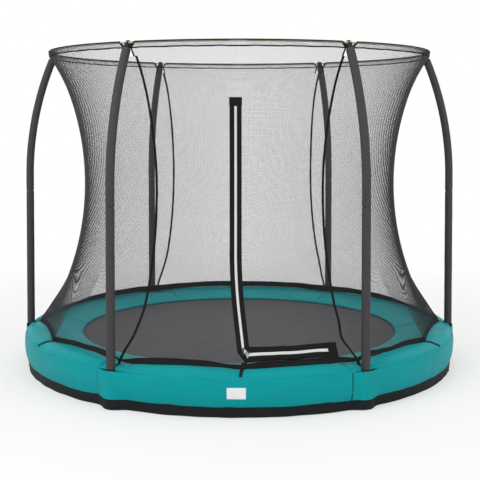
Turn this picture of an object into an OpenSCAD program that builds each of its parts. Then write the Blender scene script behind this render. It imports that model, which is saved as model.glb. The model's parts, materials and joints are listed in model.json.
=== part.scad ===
// Low garden trampoline with a waisted safety net on six curved poles.
// Millimetres, +Z up. The origin is on the ground under the middle of the mat.
// The zip door is in the sector that faces -Y.

/* [Frame] */
// Radius of the frame ring, to the middle of its tube
ring_radius = 1235; // [1215:5:1260]
// Diameter of the ring and leg tubes
frame_tube_d = 38; // [36:1:40]
// Wall of the ring and leg tubes
frame_tube_wall = 1.5; // [1.2:0.1:2]
// Height of the top of the frame ring above the ground
frame_height = 191; // [185:1:230]
// Wall of the T piece that joins two ring tubes to a leg
socket_wall = 2.2; // [1.5:0.1:3]
// Reach of the T piece along the ring, each side of its leg
socket_reach = 62; // [50:1:64]
// Space between the ends of two ring tubes inside a T piece
ring_tube_space = 6; // [2:1:12]

/* [Feet] */
// Diameter of a foot cap
foot_d = 58; // [46:1:64]
// Height of the foot cap's flange under the leg
foot_h = 6; // [4:1:10]
// Length of the foot cap's plug inside the leg
foot_plug_h = 24; // [12:1:40]

/* [Springs and mat] */
// Springs in each of the six sectors
springs_per_sector = 8; // [6:1:9]
// Outside diameter of a spring's coil
spring_d = 21; // [18:1:22]
// Wire of a spring
spring_wire_d = 3.2; // [2.4:0.1:3.6]
// Length of a spring's outer neck, from the coil to the ring tube
spring_neck = 26; // [20:1:32]
// Distance from the ring's middle in to the edge of the jumping mat
mat_inset = 200; // [195:1:225]
// Thickness of the mat's woven sheet
mat_thickness = 2; // [1.5:0.1:2.5]
// Width of the sewn band under the mat's edge
mat_hem_width = 50; // [40:1:70]
// Thickness of that band
mat_hem_thickness = 2.5; // [2:0.1:3]
// Width of a webbing loop on the mat's edge
mat_loop_width = 30; // [24:1:34]
// Thickness of that loop's webbing
mat_loop_t = 1.4; // [1:0.1:1.8]
// Length of a wire link, from the mat's edge to its spring
mat_link_length = 35; // [28:1:38]
// Half the width of a wire link's base
mat_link_half = 24; // [20:1:26]
// Thickness of a wire link
mat_link_t = 4; // [3:0.2:4.4]

/* [Pad] */
// Inner radius of the edge pad
pad_inner_radius = 958; // [930:1:980]
// Thickness of the pad at its inner edge
pad_edge_thickness = 12.5; // [10:0.5:16]
// Rise of the pad's crown above the crease where its drop begins
pad_crown_rise = 36; // [28:1:44]
// Distance of the crown inside the crease
pad_crown_inset = 63; // [50:1:70]
// Height of the crease above the frame ring
crease_lift = 9; // [7:0.5:14]
// Angle by which each pad seam lies beside its pole
pad_seam_angle = 3.6; // [3:0.1:6]
// Thickness of the drop's fabric
drop_thickness = 1.5; // [1:0.1:2]
// Height of the drop's lower edge above the ground
drop_bottom = 56; // [45:1:75]
// Radius of the drop's bulging face
drop_bulge_radius = 260; // [220:10:400]
// Height of the drop's widest line above the ground
drop_bulge_z = 150; // [130:1:160]
// Top of the ground skirt above the ground
skirt_top = 90; // [80:1:110]
// Space between the ground skirt and the ground
skirt_lift = 2; // [1:0.5:5]
// Thickness of the ground skirt
skirt_thickness = 1.2; // [0.8:0.1:1.5]
// Width of the blank patch on the drop
patch_width = 94; // [60:1:120]
// Height of the blank patch
patch_height = 57; // [40:1:70]
// Height of the patch's lower edge above the ground
patch_bottom = 101; // [80:1:120]
// Angle by which the patch lies left of the middle of the front
patch_turn = 0.35; // [0:0.05:4]

/* [Net poles] */
// Distance of the poles outside the frame ring
pole_standoff = 60; // [56:1:66]
// Diameter of a pole tube
pole_d = 25; // [22:1:27]
// Wall of a pole tube
pole_wall = 1.2; // [1:0.1:1.8]
// Height of the joint between the lower and the upper pole
pole_joint_z = 1030; // [950:5:1100]
// Length of the upper pole's neck inside the lower pole
pole_neck = 60; // [40:1:90]
// Height at which the upper pole begins to bend inwards
pole_bend_z = 1122; // [1110:1:1160]
// Radius of that bend
pole_bend_radius = 1835; // [1700:5:2200]
// Angle of the bend, up to the top of the foam sleeve
pole_bend_angle = 22.9; // [20:0.1:24]
// Height of a pole's lower end above the ground
pole_bottom = 28; // [20:1:32]
// Diameter of a foam sleeve
sleeve_d = 46; // [42:1:50]
// Height of the lower clamp on a leg
lower_clamp_z = 34; // [32:1:50]
// Height of the upper clamp on a leg
upper_clamp_z = 104; // [90:1:115]
// Height of a clamp
clamp_h = 25; // [18:1:30]
// Wall of a clamp round its pole
clamp_wall = 4.2; // [3.5:0.1:4.4]
// Diameter of a clamp bolt
clamp_bolt_d = 8; // [6:0.5:8]
// Height of a pole cap above its sleeve
cap_h = 44; // [40:1:55]
// Diameter of a pole cap
cap_d = 35; // [32:1:40]
// Diameter of the screw that holds the rod in a pole cap
cap_screw_d = 4; // [3:0.5:5]
// Diameter of that screw's head
cap_screw_head_d = 9; // [7:0.5:11]

/* [Net] */
// Distance from the circle of poles in to the net at its waist
net_waist_inset = 352; // [335:1:360]
// Height of the waist above the crease
net_waist_rise = 892; // [860:1:920]
// Radius of the curve of the net from its hem to above the door
net_curve_radius = 1600; // [1560:10:1700]
// Thickness of the net
net_thickness = 1.6; // [1:0.1:2]
// Diameter of the fibreglass rods in the top of the net
rod_d = 9.5; // [8:0.5:11]
// Outside diameter of a rod ferrule
ferrule_d = 12; // [11.5:0.1:12.4]
// Length of a rod ferrule
ferrule_length = 80; // [60:1:110]
// Height of the seam under the rod tunnel, below the rods
tunnel_depth = 29; // [24:1:36]
// Half the width of the notch in the net beside each pole
notch_half = 41; // [36:1:50]
// Depth of that notch below the rods
notch_depth = 49; // [44:1:60]
// Depth of the slot behind the sleeve below that notch
notch_slot = 21; // [19:1:30]
// Width of the tapes on the net's seams
seam_tape_width = 13; // [8:1:20]
// Height of the hem webbing
hem_height = 23; // [18:1:24]
// Width of a tie strap
strap_width = 20; // [14:1:26]
// Thickness of the webbing on the net
webbing_t = 1.5; // [1:0.1:1.8]

/* [Zip door] */
// Width of one zip webbing
zip_webbing_width = 25; // [20:1:28]
// Width of the zip's two rows of teeth together
zip_teeth_width = 13; // [9:1:15]
// Thickness of the teeth
zip_teeth_t = 2.4; // [1.8:0.1:3]
// Height of the level zip above the crease
zip_foot_rise = 93; // [88:1:110]
// Height of the zip's top end above the crease
zip_top_rise = 1349; // [1300:1:1390]
// Distance of the level zip's right end from the middle
zip_end_x = 468; // [440:1:520]
// Lean of the upright zip
zip_lean = 1.9; // [0:0.1:2.5]
// Length of the patches that cover the zip's ends
zip_patch = 46; // [30:1:60]
// Length of the flap's sharp top end that stays sewn to the fixed net
door_blunt = 56; // [50:1:80]
// Length of the flap's sharp right end that stays sewn to the fixed net
door_toe_blunt = 8; // [6:1:20]
// Length of a zip slider
slider_length = 16; // [12:1:18]
// Width of a zip slider
slider_width = 12; // [9:1:14]
// Thickness of a zip slider
slider_t = 4.6; // [3.5:0.1:6]
// Length of a slider's pull tab
pull_length = 26; // [18:1:34]

/* [Fits] */
// Gap between tubes, bores and clamps
fit_gap = 0.3; // [0.2:0.05:0.4]
// Gap between layers that are sewn or laid on each other
layer_gap = 0.2; // [0.15:0.05:0.3]
// Gap between the door and the net round it
door_gap = 0.6; // [0.4:0.1:1]

/* [Hidden] */
sectors = 6;
sector = 360 / sectors;
door_sector = 5;
front = 270;
frame_r = frame_tube_d / 2;
ring_z = frame_height - frame_r;
socket_angle = socket_reach / ring_radius * 180 / PI;
ring_end_angle = ring_tube_space / 2 / ring_radius * 180 / PI;
spring_pitch = sector / springs_per_sector;

mat_radius = ring_radius - mat_inset;
mat_bottom = ring_z + mat_link_t / 2;
mat_top = mat_bottom + mat_thickness;
link_base = mat_radius + 2.4;
link_bar = 4.4;
link_tip = link_base + mat_link_length;
loop_depth = link_bar + 2 * fit_gap + 4;
hook_z = ring_z + mat_link_t / 2 + fit_gap + spring_wire_d / 2;
hook_bend = 4;
hook_leg = 6;
hook_inside = hook_bend - spring_wire_d / 2;
hook_r = link_tip - link_bar - fit_gap - hook_bend
    + sqrt(pow(hook_inside, 2) - pow(hook_inside - fit_gap, 2));
spring_in = link_tip + 6;
spring_out = ring_radius - frame_r - spring_neck;

pole_radius = ring_radius + pole_standoff;
pole_r = pole_d / 2;
sleeve_r = sleeve_d / 2;
clamp_r = pole_r + fit_gap + clamp_wall;
clamp_leg_wall = 5;
clamp_split = 2;
crease_z = frame_height + crease_lift;
bolt_x = (ring_radius + frame_r + pole_radius - pole_r) / 2;
bolt_span = 24;

crown_r = pole_radius - pad_crown_inset;
crown_z = crease_z + pad_crown_rise;
pad_edge_bottom = mat_top + 0.5;
pad_edge_top = pad_edge_bottom + pad_edge_thickness;
pad_under = ring_z + frame_r + fit_gap + socket_wall + fit_gap;
pad_slope_out = ring_radius - frame_r - 11;
inner_span = crown_r - pad_inner_radius;
inner_fall = crown_z - pad_edge_top;
pad_in_curve = (inner_span * inner_span + inner_fall * inner_fall) / (2 * inner_fall);
pad_out_curve = (pad_crown_inset * pad_crown_inset + pad_crown_rise * pad_crown_rise)
    / (2 * pad_crown_rise);

drop_top = crease_z - 0.5;
drop_steps = 6;
drop_in_curve = drop_bulge_radius - drop_thickness;
drop_centre = pole_radius + fit_gap - sqrt(pow(drop_in_curve, 2) - pow(crease_z - drop_bulge_z, 2));
skirt_out = drop_centre + sqrt(pow(drop_in_curve, 2) - pow(drop_bulge_z - drop_bottom, 2)) - fit_gap;
skirt_wrap = norm([pole_radius - skirt_out + skirt_thickness, bolt_span / 2]) + fit_gap;
drop_wrap = skirt_wrap + skirt_thickness + fit_gap;
pocket_reach = pole_radius - skirt_out - fit_gap;
pocket_taper = 0.97;

bend_centre = pole_radius - pole_bend_radius;
cap_rod_up = 30;
cap_rod_out = 8;
cap_socket = 18;
rod_r = rod_d / 2;
rod_ring = bend_centre + (pole_bend_radius + cap_rod_out) * cos(pole_bend_angle)
    - cap_rod_up * sin(pole_bend_angle);
rod_z = pole_bend_z + (pole_bend_radius + cap_rod_out) * sin(pole_bend_angle)
    + cap_rod_up * cos(pole_bend_angle);

net_half = net_thickness / 2;
net_waist_radius = pole_radius - net_waist_inset;
waist_z = crease_z + net_waist_rise;
net_centre = net_waist_radius + net_curve_radius;
hem_bottom = crown_z + 0.5;
net_bottom = hem_bottom + 3;
seam_z = rod_z - tunnel_depth;
blend_z = crease_z + zip_top_rise + 18;
blend_r = net_centre - sqrt(pow(net_curve_radius, 2) - pow(blend_z - waist_z, 2));
to_centre = [net_centre - blend_r, waist_z - blend_z] / net_curve_radius;
to_rod = [rod_ring - blend_r, seam_z - blend_z];
top_curve = (to_rod * to_rod) / (2 * (to_rod * to_centre));
top_centre = [blend_r, blend_z] + top_curve * to_centre;
tunnel_t = 1.4;
ferrule_angle = ferrule_length / 2 / rod_ring * 180 / PI;

tape_in = net_half + layer_gap;
tape_out = tape_in + webbing_t;
strap_in = tape_out + layer_gap;
strap_out = strap_in + webbing_t;
hem_slope = asin((waist_z - hem_bottom) / net_curve_radius);
strap_start = net_centre - net_curve_radius * cos(hem_slope) + strap_in / cos(hem_slope);
strap_end = pole_radius - sleeve_r - 2;

zip_foot_z = crease_z + zip_foot_rise;
zip_top_z = crease_z + zip_top_rise;
zip_half = zip_teeth_width / 2 + zip_webbing_width;
teeth_half = zip_teeth_width / 2;
teeth_out = tape_in + zip_teeth_t;
slider_in = teeth_out + fit_gap;
slider_out = slider_in + slider_t;
park = slider_length + 9;
tip_z = zip_top_z - park;
tip_x = zip_end_x - park;
fold_run = (tip_x - zip_x(tip_z)) / (tip_z - zip_foot_z);
corner_x = zip_x(zip_foot_z) + park + 6;
corner_z = zip_foot_z + park;
slider_up_z = zip_foot_z + 16;
slider_side_x = zip_x(zip_foot_z) + 20;
pin_d = 2;
pin_out = slider_out + 3;

ring_names = [for (i = [1:sectors]) str("ring_tube_", i)];
leg_names = [for (i = [1:sectors]) str("leg_", i)];
upper_pole_names = [for (i = [1:sectors]) str("upper_pole_", i)];
net_names = [for (i = [1:sectors]) str("net_panel_", i)];
pad_names = [for (i = [1:sectors]) str("pad_", i)];

steel = [0.72, 0.73, 0.74];
graphite = [0.27, 0.265, 0.26];
black = [0.13, 0.12, 0.13];
teal = [0.13, 0.58, 0.6];
net_grey = [0.33, 0.32, 0.33];

// Distance of the upright zip from the middle at a height
function zip_x(z) = (waist_z - z) * tan(zip_lean);

// Distance of the door's fold from the middle at a height, or of a line beside it
function fold_x(z, out) = zip_x(tip_z) + (tip_z - z) * fold_run + out * norm([1, fold_run]);

// Height of the same line at a distance from the middle
function fold_z(x, out) = tip_z - (x - zip_x(tip_z) - out * norm([1, fold_run])) / fold_run;

// Children at each pole, turned outwards
module at_poles() {
    for (i = [0:sectors - 1]) rotate([0, 0, i * sector]) children();
}

// Children at the middle of each sector
module at_mids() {
    for (i = [0:sectors - 1]) rotate([0, 0, (i + 0.5) * sector]) children();
}

// A profile of radius and height, turned about the middle from one angle to another
module turned(from, to) {
    rotate([0, 0, from]) rotate_extrude(angle = to - from, $fn = 180) children();
}

// A curved bar or tube at a radius and height
module arc_tube(radius, z, outer, inner, from, to) {
    turned(from, to) translate([radius, z]) difference() {
        circle(r = outer, $fn = 36);
        if (inner > 0) circle(r = inner, $fn = 36);
    }
}

// ---------------------------------------------------------------- frame

module ring_tube(i) {
    start = (i - 1) * sector;
    color(steel) difference() {
        arc_tube(ring_radius, ring_z, frame_r, frame_r - frame_tube_wall,
            start + ring_end_angle, start + sector - ring_end_angle);
        for (s = [0:springs_per_sector - 1]) rotate([0, 0, start + (s + 0.5) * spring_pitch])
            translate([ring_radius - frame_r - 6, 0, ring_z]) rotate([0, 90, 0])
                cylinder(d = spring_wire_d + 0.8, h = 12, $fn = 24);
    }
}

// T piece and leg, welded in one
module leg(i) {
    pole_angle = (i - 1) * sector;
    socket_in = frame_r + fit_gap;
    color(steel) difference() {
        union() {
            arc_tube(ring_radius, ring_z, socket_in + socket_wall, 0,
                pole_angle - socket_angle, pole_angle + socket_angle);
            rotate([0, 0, pole_angle]) translate([ring_radius, 0, foot_h])
                cylinder(r = frame_r, h = ring_z - foot_h, $fn = 60);
        }
        arc_tube(ring_radius, ring_z, socket_in, 0,
            pole_angle - socket_angle - 1, pole_angle + socket_angle + 1);
        rotate([0, 0, pole_angle]) translate([ring_radius, 0, foot_h - 1])
            cylinder(r = frame_r - frame_tube_wall, h = ring_z - foot_h, $fn = 60);
    }
}

module foot_caps() {
    plug_r = frame_r - frame_tube_wall - fit_gap;
    color(black) at_poles() translate([ring_radius, 0, 0]) rotate_extrude($fn = 60)
        polygon([[0, 0], [foot_d / 2 - 1, 0], [foot_d / 2, 1], [foot_d / 2, foot_h - 1.5],
            [foot_d / 2 - 1.5, foot_h], [plug_r, foot_h], [plug_r, foot_h + foot_plug_h - 1],
            [plug_r - 1, foot_h + foot_plug_h], [0, foot_h + foot_plug_h]]);
}

// ---------------------------------------------------------------- mat and springs

module mat() {
    color(net_grey) translate([0, 0, mat_bottom]) cylinder(r = mat_radius, h = mat_thickness, $fn = 360);
}

module at_springs() {
    for (i = [0:sectors * springs_per_sector - 1]) rotate([0, 0, (i + 0.5) * spring_pitch]) children();
}

// Band under the mat's edge with a webbing loop for every wire link
module mat_hem() {
    band_bottom = mat_bottom - mat_hem_thickness;
    loop_bottom = ring_z - mat_link_t / 2 - fit_gap - mat_loop_t;
    loop_top = mat_bottom + fit_gap + mat_loop_t;
    loop_in = mat_radius - 7;
    loop_out = link_base + link_bar + fit_gap + 3;
    color(black) difference() {
        union() {
            translate([0, 0, band_bottom]) difference() {
                cylinder(r = mat_radius, h = mat_hem_thickness - 0.05, $fn = 360);
                translate([0, 0, -1])
                    cylinder(r = mat_radius - mat_hem_width, h = mat_hem_thickness + 2, $fn = 360);
            }
            at_springs() {
                translate([loop_in, -mat_loop_width / 2, loop_bottom])
                    cube([loop_out - loop_in, mat_loop_width, mat_bottom - 0.05 - loop_bottom]);
                translate([mat_radius + fit_gap, -mat_loop_width / 2, loop_bottom])
                    cube([loop_out - mat_radius - fit_gap, mat_loop_width, loop_top - loop_bottom]);
            }
        }
        at_springs() translate([link_base - fit_gap, -mat_loop_width, ring_z - mat_link_t / 2 - fit_gap])
            cube([link_bar + 2 * fit_gap, 2 * mat_loop_width, mat_link_t + 2 * fit_gap]);
    }
}

// Flat outline of a wire link, drawn in by an amount
module link_outline(inset) {
    tip_half = 5;
    slope = inset * 1.7;
    polygon([[link_base + inset, -mat_link_half + slope], [link_tip - inset, -tip_half + inset * 0.6],
        [link_tip - inset, tip_half - inset * 0.6], [link_base + inset, mat_link_half - slope]]);
}

module mat_links() {
    color(steel) at_springs() translate([0, 0, ring_z - mat_link_t / 2]) linear_extrude(mat_link_t)
        difference() {
            link_outline(0);
            link_outline(link_bar);
        }
}

// A quarter turn of wire and the leg below it, at the end of a run along +X
module wire_hook(leg) {
    translate([0, 0, -hook_bend]) rotate([90, 0, 0]) rotate_extrude(angle = 90, $fn = 48)
        translate([hook_bend, 0]) circle(d = spring_wire_d, $fn = 20);
    translate([hook_bend, 0, -hook_bend - leg]) cylinder(d = spring_wire_d, h = leg, $fn = 20);
}

module spring() {
    shoulder = 5;
    coil_length = spring_out - spring_in;
    neck_out = spring_neck + 5;
    coil_r = spring_d / 2;
    wire_r = spring_wire_d / 2;
    translate([spring_in, 0, ring_z]) rotate([0, 90, 0]) rotate_extrude($fn = 36)
        polygon([[0, 0], [coil_r - shoulder * 0.6, 0], [coil_r, shoulder], [coil_r, coil_length - shoulder],
            [wire_r + 1, coil_length], [0, coil_length]]);
    translate([spring_out - 1, 0, ring_z]) rotate([0, 90, 0])
        cylinder(r = wire_r, h = neck_out + 1, $fn = 20);
    translate([spring_out + neck_out, 0, ring_z]) wire_hook(hook_leg - 2);
    translate([hook_r + hook_bend, 0, hook_z]) rotate([0, 90, 0])
        cylinder(r = wire_r, h = spring_in + 1 - hook_r - hook_bend, $fn = 20);
    translate([hook_r + hook_bend, 0, hook_z]) mirror([1, 0, 0]) wire_hook(hook_leg);
}

module springs() {
    color(steel) at_springs() spring();
}

// ---------------------------------------------------------------- pad, drop and skirt

// Section of the pad's crowned top, raised by an amount, between two radii
module pad_top(raise, from, to) {
    low = pad_edge_bottom - 50;
    high = crown_z + 50 - low;
    intersection() {
        translate([crown_r, crown_z - pad_in_curve]) circle(r = pad_in_curve + raise, $fn = 720);
        translate([from, low]) square([min(crown_r, to) - from, high]);
    }
    if (to > crown_r) intersection() {
        translate([crown_r, crown_z - pad_out_curve]) circle(r = pad_out_curve + raise, $fn = 180);
        translate([crown_r - 0.01, low]) square([to - crown_r + 0.01, high]);
    }
}

module pad(i) {
    start = (i - 1) * sector - pad_seam_angle;
    below = pad_edge_bottom - 60;
    color(teal) difference() {
        turned(start, start + sector) difference() {
            pad_top(0, pad_inner_radius, pole_radius);
            polygon([[pad_inner_radius - 9, below], [pad_inner_radius - 9, pad_edge_bottom],
                [pad_inner_radius, pad_edge_bottom], [pad_slope_out, pad_under],
                [pole_radius + 9, pad_under], [pole_radius + 9, below]]);
        }
        rotate([0, 0, (i - 1) * sector]) translate([pole_radius, 0, pad_under - 9])
            cylinder(r = sleeve_r + fit_gap, h = 90, $fn = 60);
    }
}

// Radius of the drop's bulging outer face at a height
function drop_r(z) = drop_centre + sqrt(pow(drop_bulge_radius, 2) - pow(z - drop_bulge_z, 2));

// Section of the drop's wall, in straight steps
module drop_section() {
    levels = [for (k = [0:drop_steps]) drop_bottom + k * (drop_top - drop_bottom) / drop_steps];
    polygon(concat([for (z = levels) [drop_r(z), z]],
        [for (k = [drop_steps:-1:0]) [drop_r(levels[k]) - drop_thickness, levels[k]]]));
}

// Pocket in the drop that goes round a pole, as a flat outline
module pocket_outline(half, inner) {
    translate([pole_radius, 0]) circle(r = half, $fn = 60);
    translate([pole_radius - inner, -pocket_taper * half]) square([inner, 2 * pocket_taper * half]);
}

// One panel of the pad's hanging front: a wall, the pocket round its pole and a wall, sewn edge to edge
module drop_panel(i) {
    pole_angle = (i - 1) * sector;
    half = drop_wrap + drop_thickness;
    half_pocket = asin((half + fit_gap) / (drop_r(drop_bottom) - drop_thickness));
    seam_gap_angle = fit_gap / pole_radius * 180 / PI;
    turned(pole_angle - pad_seam_angle, pole_angle - half_pocket) drop_section();
    turned(pole_angle + half_pocket, pole_angle + sector - pad_seam_angle - seam_gap_angle) drop_section();
    rotate([0, 0, pole_angle]) translate([0, 0, drop_bottom])
        linear_extrude(pad_under - fit_gap - drop_bottom) difference() {
            pocket_outline(half, pocket_reach);
            pocket_outline(drop_wrap, 3 * pocket_reach);
        }
}

module pad_drop() {
    color(teal) for (i = [1:sectors]) drop_panel(i);
}

module ground_skirt() {
    height = skirt_top - skirt_lift;
    color(black) translate([0, 0, skirt_lift]) linear_extrude(height) difference() {
        union() {
            circle(r = skirt_out, $fn = 360);
            at_poles() translate([pole_radius, 0]) circle(r = skirt_wrap + skirt_thickness, $fn = 60);
        }
        circle(r = skirt_out - skirt_thickness, $fn = 360);
        at_poles() translate([pole_radius, 0]) circle(r = skirt_wrap, $fn = 60);
    }
}

// Patch on the front of the drop, left plain
module blank_patch() {
    patch_t = 0.6;
    middle = front - patch_turn;
    half_angle = patch_width / 2 / pole_radius * 180 / PI;
    color("white") turned(middle - half_angle, middle + half_angle) intersection() {
        translate([drop_centre, drop_bulge_z]) difference() {
            circle(r = drop_bulge_radius + layer_gap + patch_t, $fn = 360);
            circle(r = drop_bulge_radius + layer_gap, $fn = 360);
        }
        translate([drop_centre, patch_bottom]) square([drop_bulge_radius + 9, patch_height]);
    }
}

// ---------------------------------------------------------------- poles

module lower_poles() {
    color(steel) at_poles() translate([pole_radius, 0, pole_bottom]) difference() {
        cylinder(r = pole_r, h = pole_joint_z - pole_bottom, $fn = 60);
        translate([0, 0, -1]) cylinder(r = pole_r - pole_wall, h = pole_joint_z, $fn = 60);
    }
}

// Bent length of a pole or sleeve above the straight part
module pole_bend(r, angle) {
    translate([bend_centre, 0, pole_bend_z]) rotate([90, 0, 0])
        rotate_extrude(angle = angle, $fn = 360) translate([pole_bend_radius, 0]) circle(r = r, $fn = 48);
}

module upper_pole(i) {
    end_angle = pole_bend_angle + (cap_socket - 2) / pole_bend_radius * 180 / PI;
    neck_r = pole_r - pole_wall - fit_gap;
    bore_r = pole_r - pole_wall;
    color(steel) rotate([0, 0, (i - 1) * sector]) difference() {
        union() {
            translate([pole_radius, 0, pole_joint_z])
                cylinder(r = pole_r, h = pole_bend_z - pole_joint_z, $fn = 60);
            translate([pole_radius, 0, pole_joint_z - pole_neck])
                cylinder(r = neck_r, h = pole_neck + 1, $fn = 60);
            pole_bend(pole_r, end_angle);
        }
        translate([pole_radius, 0, pole_joint_z - pole_neck - 1])
            cylinder(r = neck_r - pole_wall, h = pole_neck + 9, $fn = 60);
        translate([pole_radius, 0, pole_joint_z + 8])
            cylinder(r = bore_r, h = pole_bend_z - pole_joint_z - 8, $fn = 60);
        pole_bend(bore_r, end_angle + 0.5);
    }
}

module pole_sleeves() {
    bore = pole_r + fit_gap;
    color(graphite) at_poles() {
        translate([pole_radius, 0, crease_z]) difference() {
            cylinder(r = sleeve_r, h = pole_joint_z - crease_z - 1, $fn = 60);
            translate([0, 0, -1]) cylinder(r = bore, h = pole_joint_z, $fn = 60);
        }
        difference() {
            union() {
                translate([pole_radius, 0, pole_joint_z])
                    cylinder(r = sleeve_r, h = pole_bend_z - pole_joint_z, $fn = 60);
                pole_bend(sleeve_r, pole_bend_angle);
            }
            translate([pole_radius, 0, pole_joint_z - 1])
                cylinder(r = bore, h = pole_bend_z - pole_joint_z + 1, $fn = 60);
            pole_bend(bore, pole_bend_angle + 0.5);
        }
    }
}

// Two half shells that hold a pole against its leg, with a bolt hole through the web
module clamp() {
    leg_out = frame_r + fit_gap + clamp_leg_wall;
    difference() {
        linear_extrude(clamp_h) difference() {
            union() {
                translate([ring_radius, 0]) circle(r = leg_out, $fn = 60);
                translate([pole_radius, 0]) circle(r = clamp_r, $fn = 60);
                translate([ring_radius, -bolt_span / 2]) square([pole_standoff, bolt_span]);
            }
            translate([ring_radius, 0]) circle(r = frame_r + fit_gap, $fn = 60);
            translate([pole_radius, 0]) circle(r = pole_r + fit_gap, $fn = 60);
            translate([ring_radius - leg_out - 1, -clamp_split / 2])
                square([leg_out + pole_standoff + clamp_r + 2, clamp_split]);
        }
        translate([bolt_x, bolt_span, clamp_h / 2]) rotate([90, 0, 0])
            cylinder(d = clamp_bolt_d + 2 * fit_gap, h = 2 * bolt_span, $fn = 30);
    }
}

module pole_clamps() {
    color(steel) at_poles() {
        translate([0, 0, lower_clamp_z]) clamp();
        translate([0, 0, upper_clamp_z]) clamp();
    }
}

// Bolt with its nut; both are on the clamp's bolt axis
module clamp_bolt() {
    head_h = 5.5;
    nut_h = 6.5;
    seat = bolt_span / 2 + 0.1;
    translate([bolt_x, 0, clamp_h / 2]) rotate([90, 0, 0]) {
        translate([0, 0, seat]) cylinder(d = clamp_bolt_d * 1.8, h = head_h, $fn = 6);
        translate([0, 0, -seat - nut_h - 3]) cylinder(d = clamp_bolt_d, h = 2 * seat + nut_h + 4, $fn = 30);
        translate([0, 0, -seat - nut_h]) difference() {
            cylinder(d = clamp_bolt_d * 1.8, h = nut_h, $fn = 6);
            translate([0, 0, -1]) cylinder(d = clamp_bolt_d + 0.2, h = nut_h + 2, $fn = 30);
        }
    }
}

module clamp_bolts() {
    color(steel) at_poles() {
        translate([0, 0, lower_clamp_z]) clamp_bolt();
        translate([0, 0, upper_clamp_z]) clamp_bolt();
    }
}

// Children on the end of a sleeve, with Z along the pole
module at_pole_top() {
    translate([bend_centre, 0, pole_bend_z]) rotate([0, -pole_bend_angle, 0])
        translate([pole_bend_radius, 0, 0]) children();
}

module pole_caps() {
    cap_r = cap_d / 2;
    color(black) at_poles() at_pole_top() difference() {
        translate([0, 0, fit_gap]) rotate_extrude($fn = 60)
            polygon([[0, 0], [cap_r, 0], [cap_r, cap_h - 12], [cap_r - 5, cap_h - 2],
                [cap_r - 8, cap_h], [0, cap_h]]);
        translate([0, 0, -1]) cylinder(r = pole_r + fit_gap, h = cap_socket + 1, $fn = 60);
        translate([cap_rod_out, cap_d, cap_rod_up]) rotate([90, 0, 0])
            cylinder(r = rod_r + fit_gap + 0.1, h = 2 * cap_d, $fn = 36);
        translate([cap_rod_out + 2, 0, cap_rod_up]) rotate([0, 90, 0])
            cylinder(d = cap_screw_d + 2 * fit_gap, h = cap_d, $fn = 24);
    }
}

// Screw that holds the rod in a cap
module cap_screws() {
    cap_r = cap_d / 2;
    tip = cap_rod_out + rod_r + 2 * fit_gap;
    color([0.82, 0.78, 0.66]) at_poles() at_pole_top() translate([0, 0, cap_rod_up]) rotate([0, 90, 0]) {
        translate([0, 0, tip]) cylinder(d = cap_screw_d, h = cap_r + fit_gap - tip + 1, $fn = 24);
        translate([0, 0, cap_r + fit_gap]) cylinder(d = cap_screw_head_d, h = 3, $fn = 30);
    }
}

// ---------------------------------------------------------------- net

module net_rods() {
    end = 0.05;
    color([0.78, 0.72, 0.58]) for (i = [0:sectors - 1])
        arc_tube(rod_ring, rod_z, rod_r, 0, (i - 0.5) * sector + end, (i + 0.5) * sector - end);
}

module rod_ferrules() {
    color(steel) at_mids()
        arc_tube(rod_ring, rod_z, ferrule_d / 2, rod_r + fit_gap, -ferrule_angle, ferrule_angle);
}

// Wall of the net between two distances outside its middle surface and two heights
module net_wall(in, out, low, high) {
    reach = net_curve_radius * 0.5;
    intersection() {
        translate([net_centre, waist_z]) difference() {
            circle(r = net_curve_radius - in, $fn = 720);
            circle(r = net_curve_radius - out, $fn = 720);
        }
        translate([net_waist_radius - 20, low]) square([reach, min(high, blend_z) - low]);
    }
    if (high > blend_z) intersection() {
        translate(top_centre) difference() {
            circle(r = top_curve - in, $fn = 720);
            circle(r = top_curve - out, $fn = 720);
        }
        translate([blend_r - 40, blend_z - 0.02]) square([rod_ring + 40 - blend_r, high - blend_z + 0.02]);
    }
}

// Notches beside the poles, where the rods show, with a slot for the end of the sleeve
module pole_notches() {
    slot_half = sleeve_r + 2 * fit_gap;
    at_poles() translate([rod_ring - 60, 0, rod_z - notch_depth]) rotate([90, 0, 90]) linear_extrude(120) {
        polygon([[0, 0], [notch_half * 1.5, notch_depth * 1.5], [-notch_half * 1.5, notch_depth * 1.5]]);
        translate([-slot_half, -notch_slot]) square([2 * slot_half, notch_slot + notch_depth / 2]);
    }
}

module net_panel(i) {
    color(net_grey) difference() {
        turned((i - 1) * sector, i * sector) net_wall(-net_half, net_half, net_bottom, seam_z - layer_gap);
        pole_notches();
        if (i == door_sector) door_prism(door_gap);
    }
}

module net_tunnel() {
    bore = ferrule_d / 2 + layer_gap + 0.1;
    end = notch_half * 0.9 / rod_ring * 180 / PI;
    color(net_grey) difference() {
        for (i = [0:sectors - 1]) turned(i * sector + end, (i + 1) * sector - end) difference() {
            union() {
                translate([rod_ring, rod_z]) circle(r = bore + tunnel_t, $fn = 36);
                translate([rod_ring - tunnel_t, seam_z]) square([2 * tunnel_t, tunnel_depth]);
            }
            translate([rod_ring, rod_z]) circle(r = bore, $fn = 36);
        }
        pole_notches();
    }
}

module seam_tapes() {
    top = rod_z - notch_depth - notch_slot - layer_gap;
    half = seam_tape_width / 2 / net_waist_radius * 180 / PI;
    color(black) at_poles() turned(-half, half)
        net_wall(tape_in, tape_out, hem_bottom + hem_height + 0.5, top);
}

module net_hem() {
    color(black) turned(0, 360) net_wall(tape_in, tape_out, hem_bottom, hem_bottom + hem_height);
}

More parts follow.
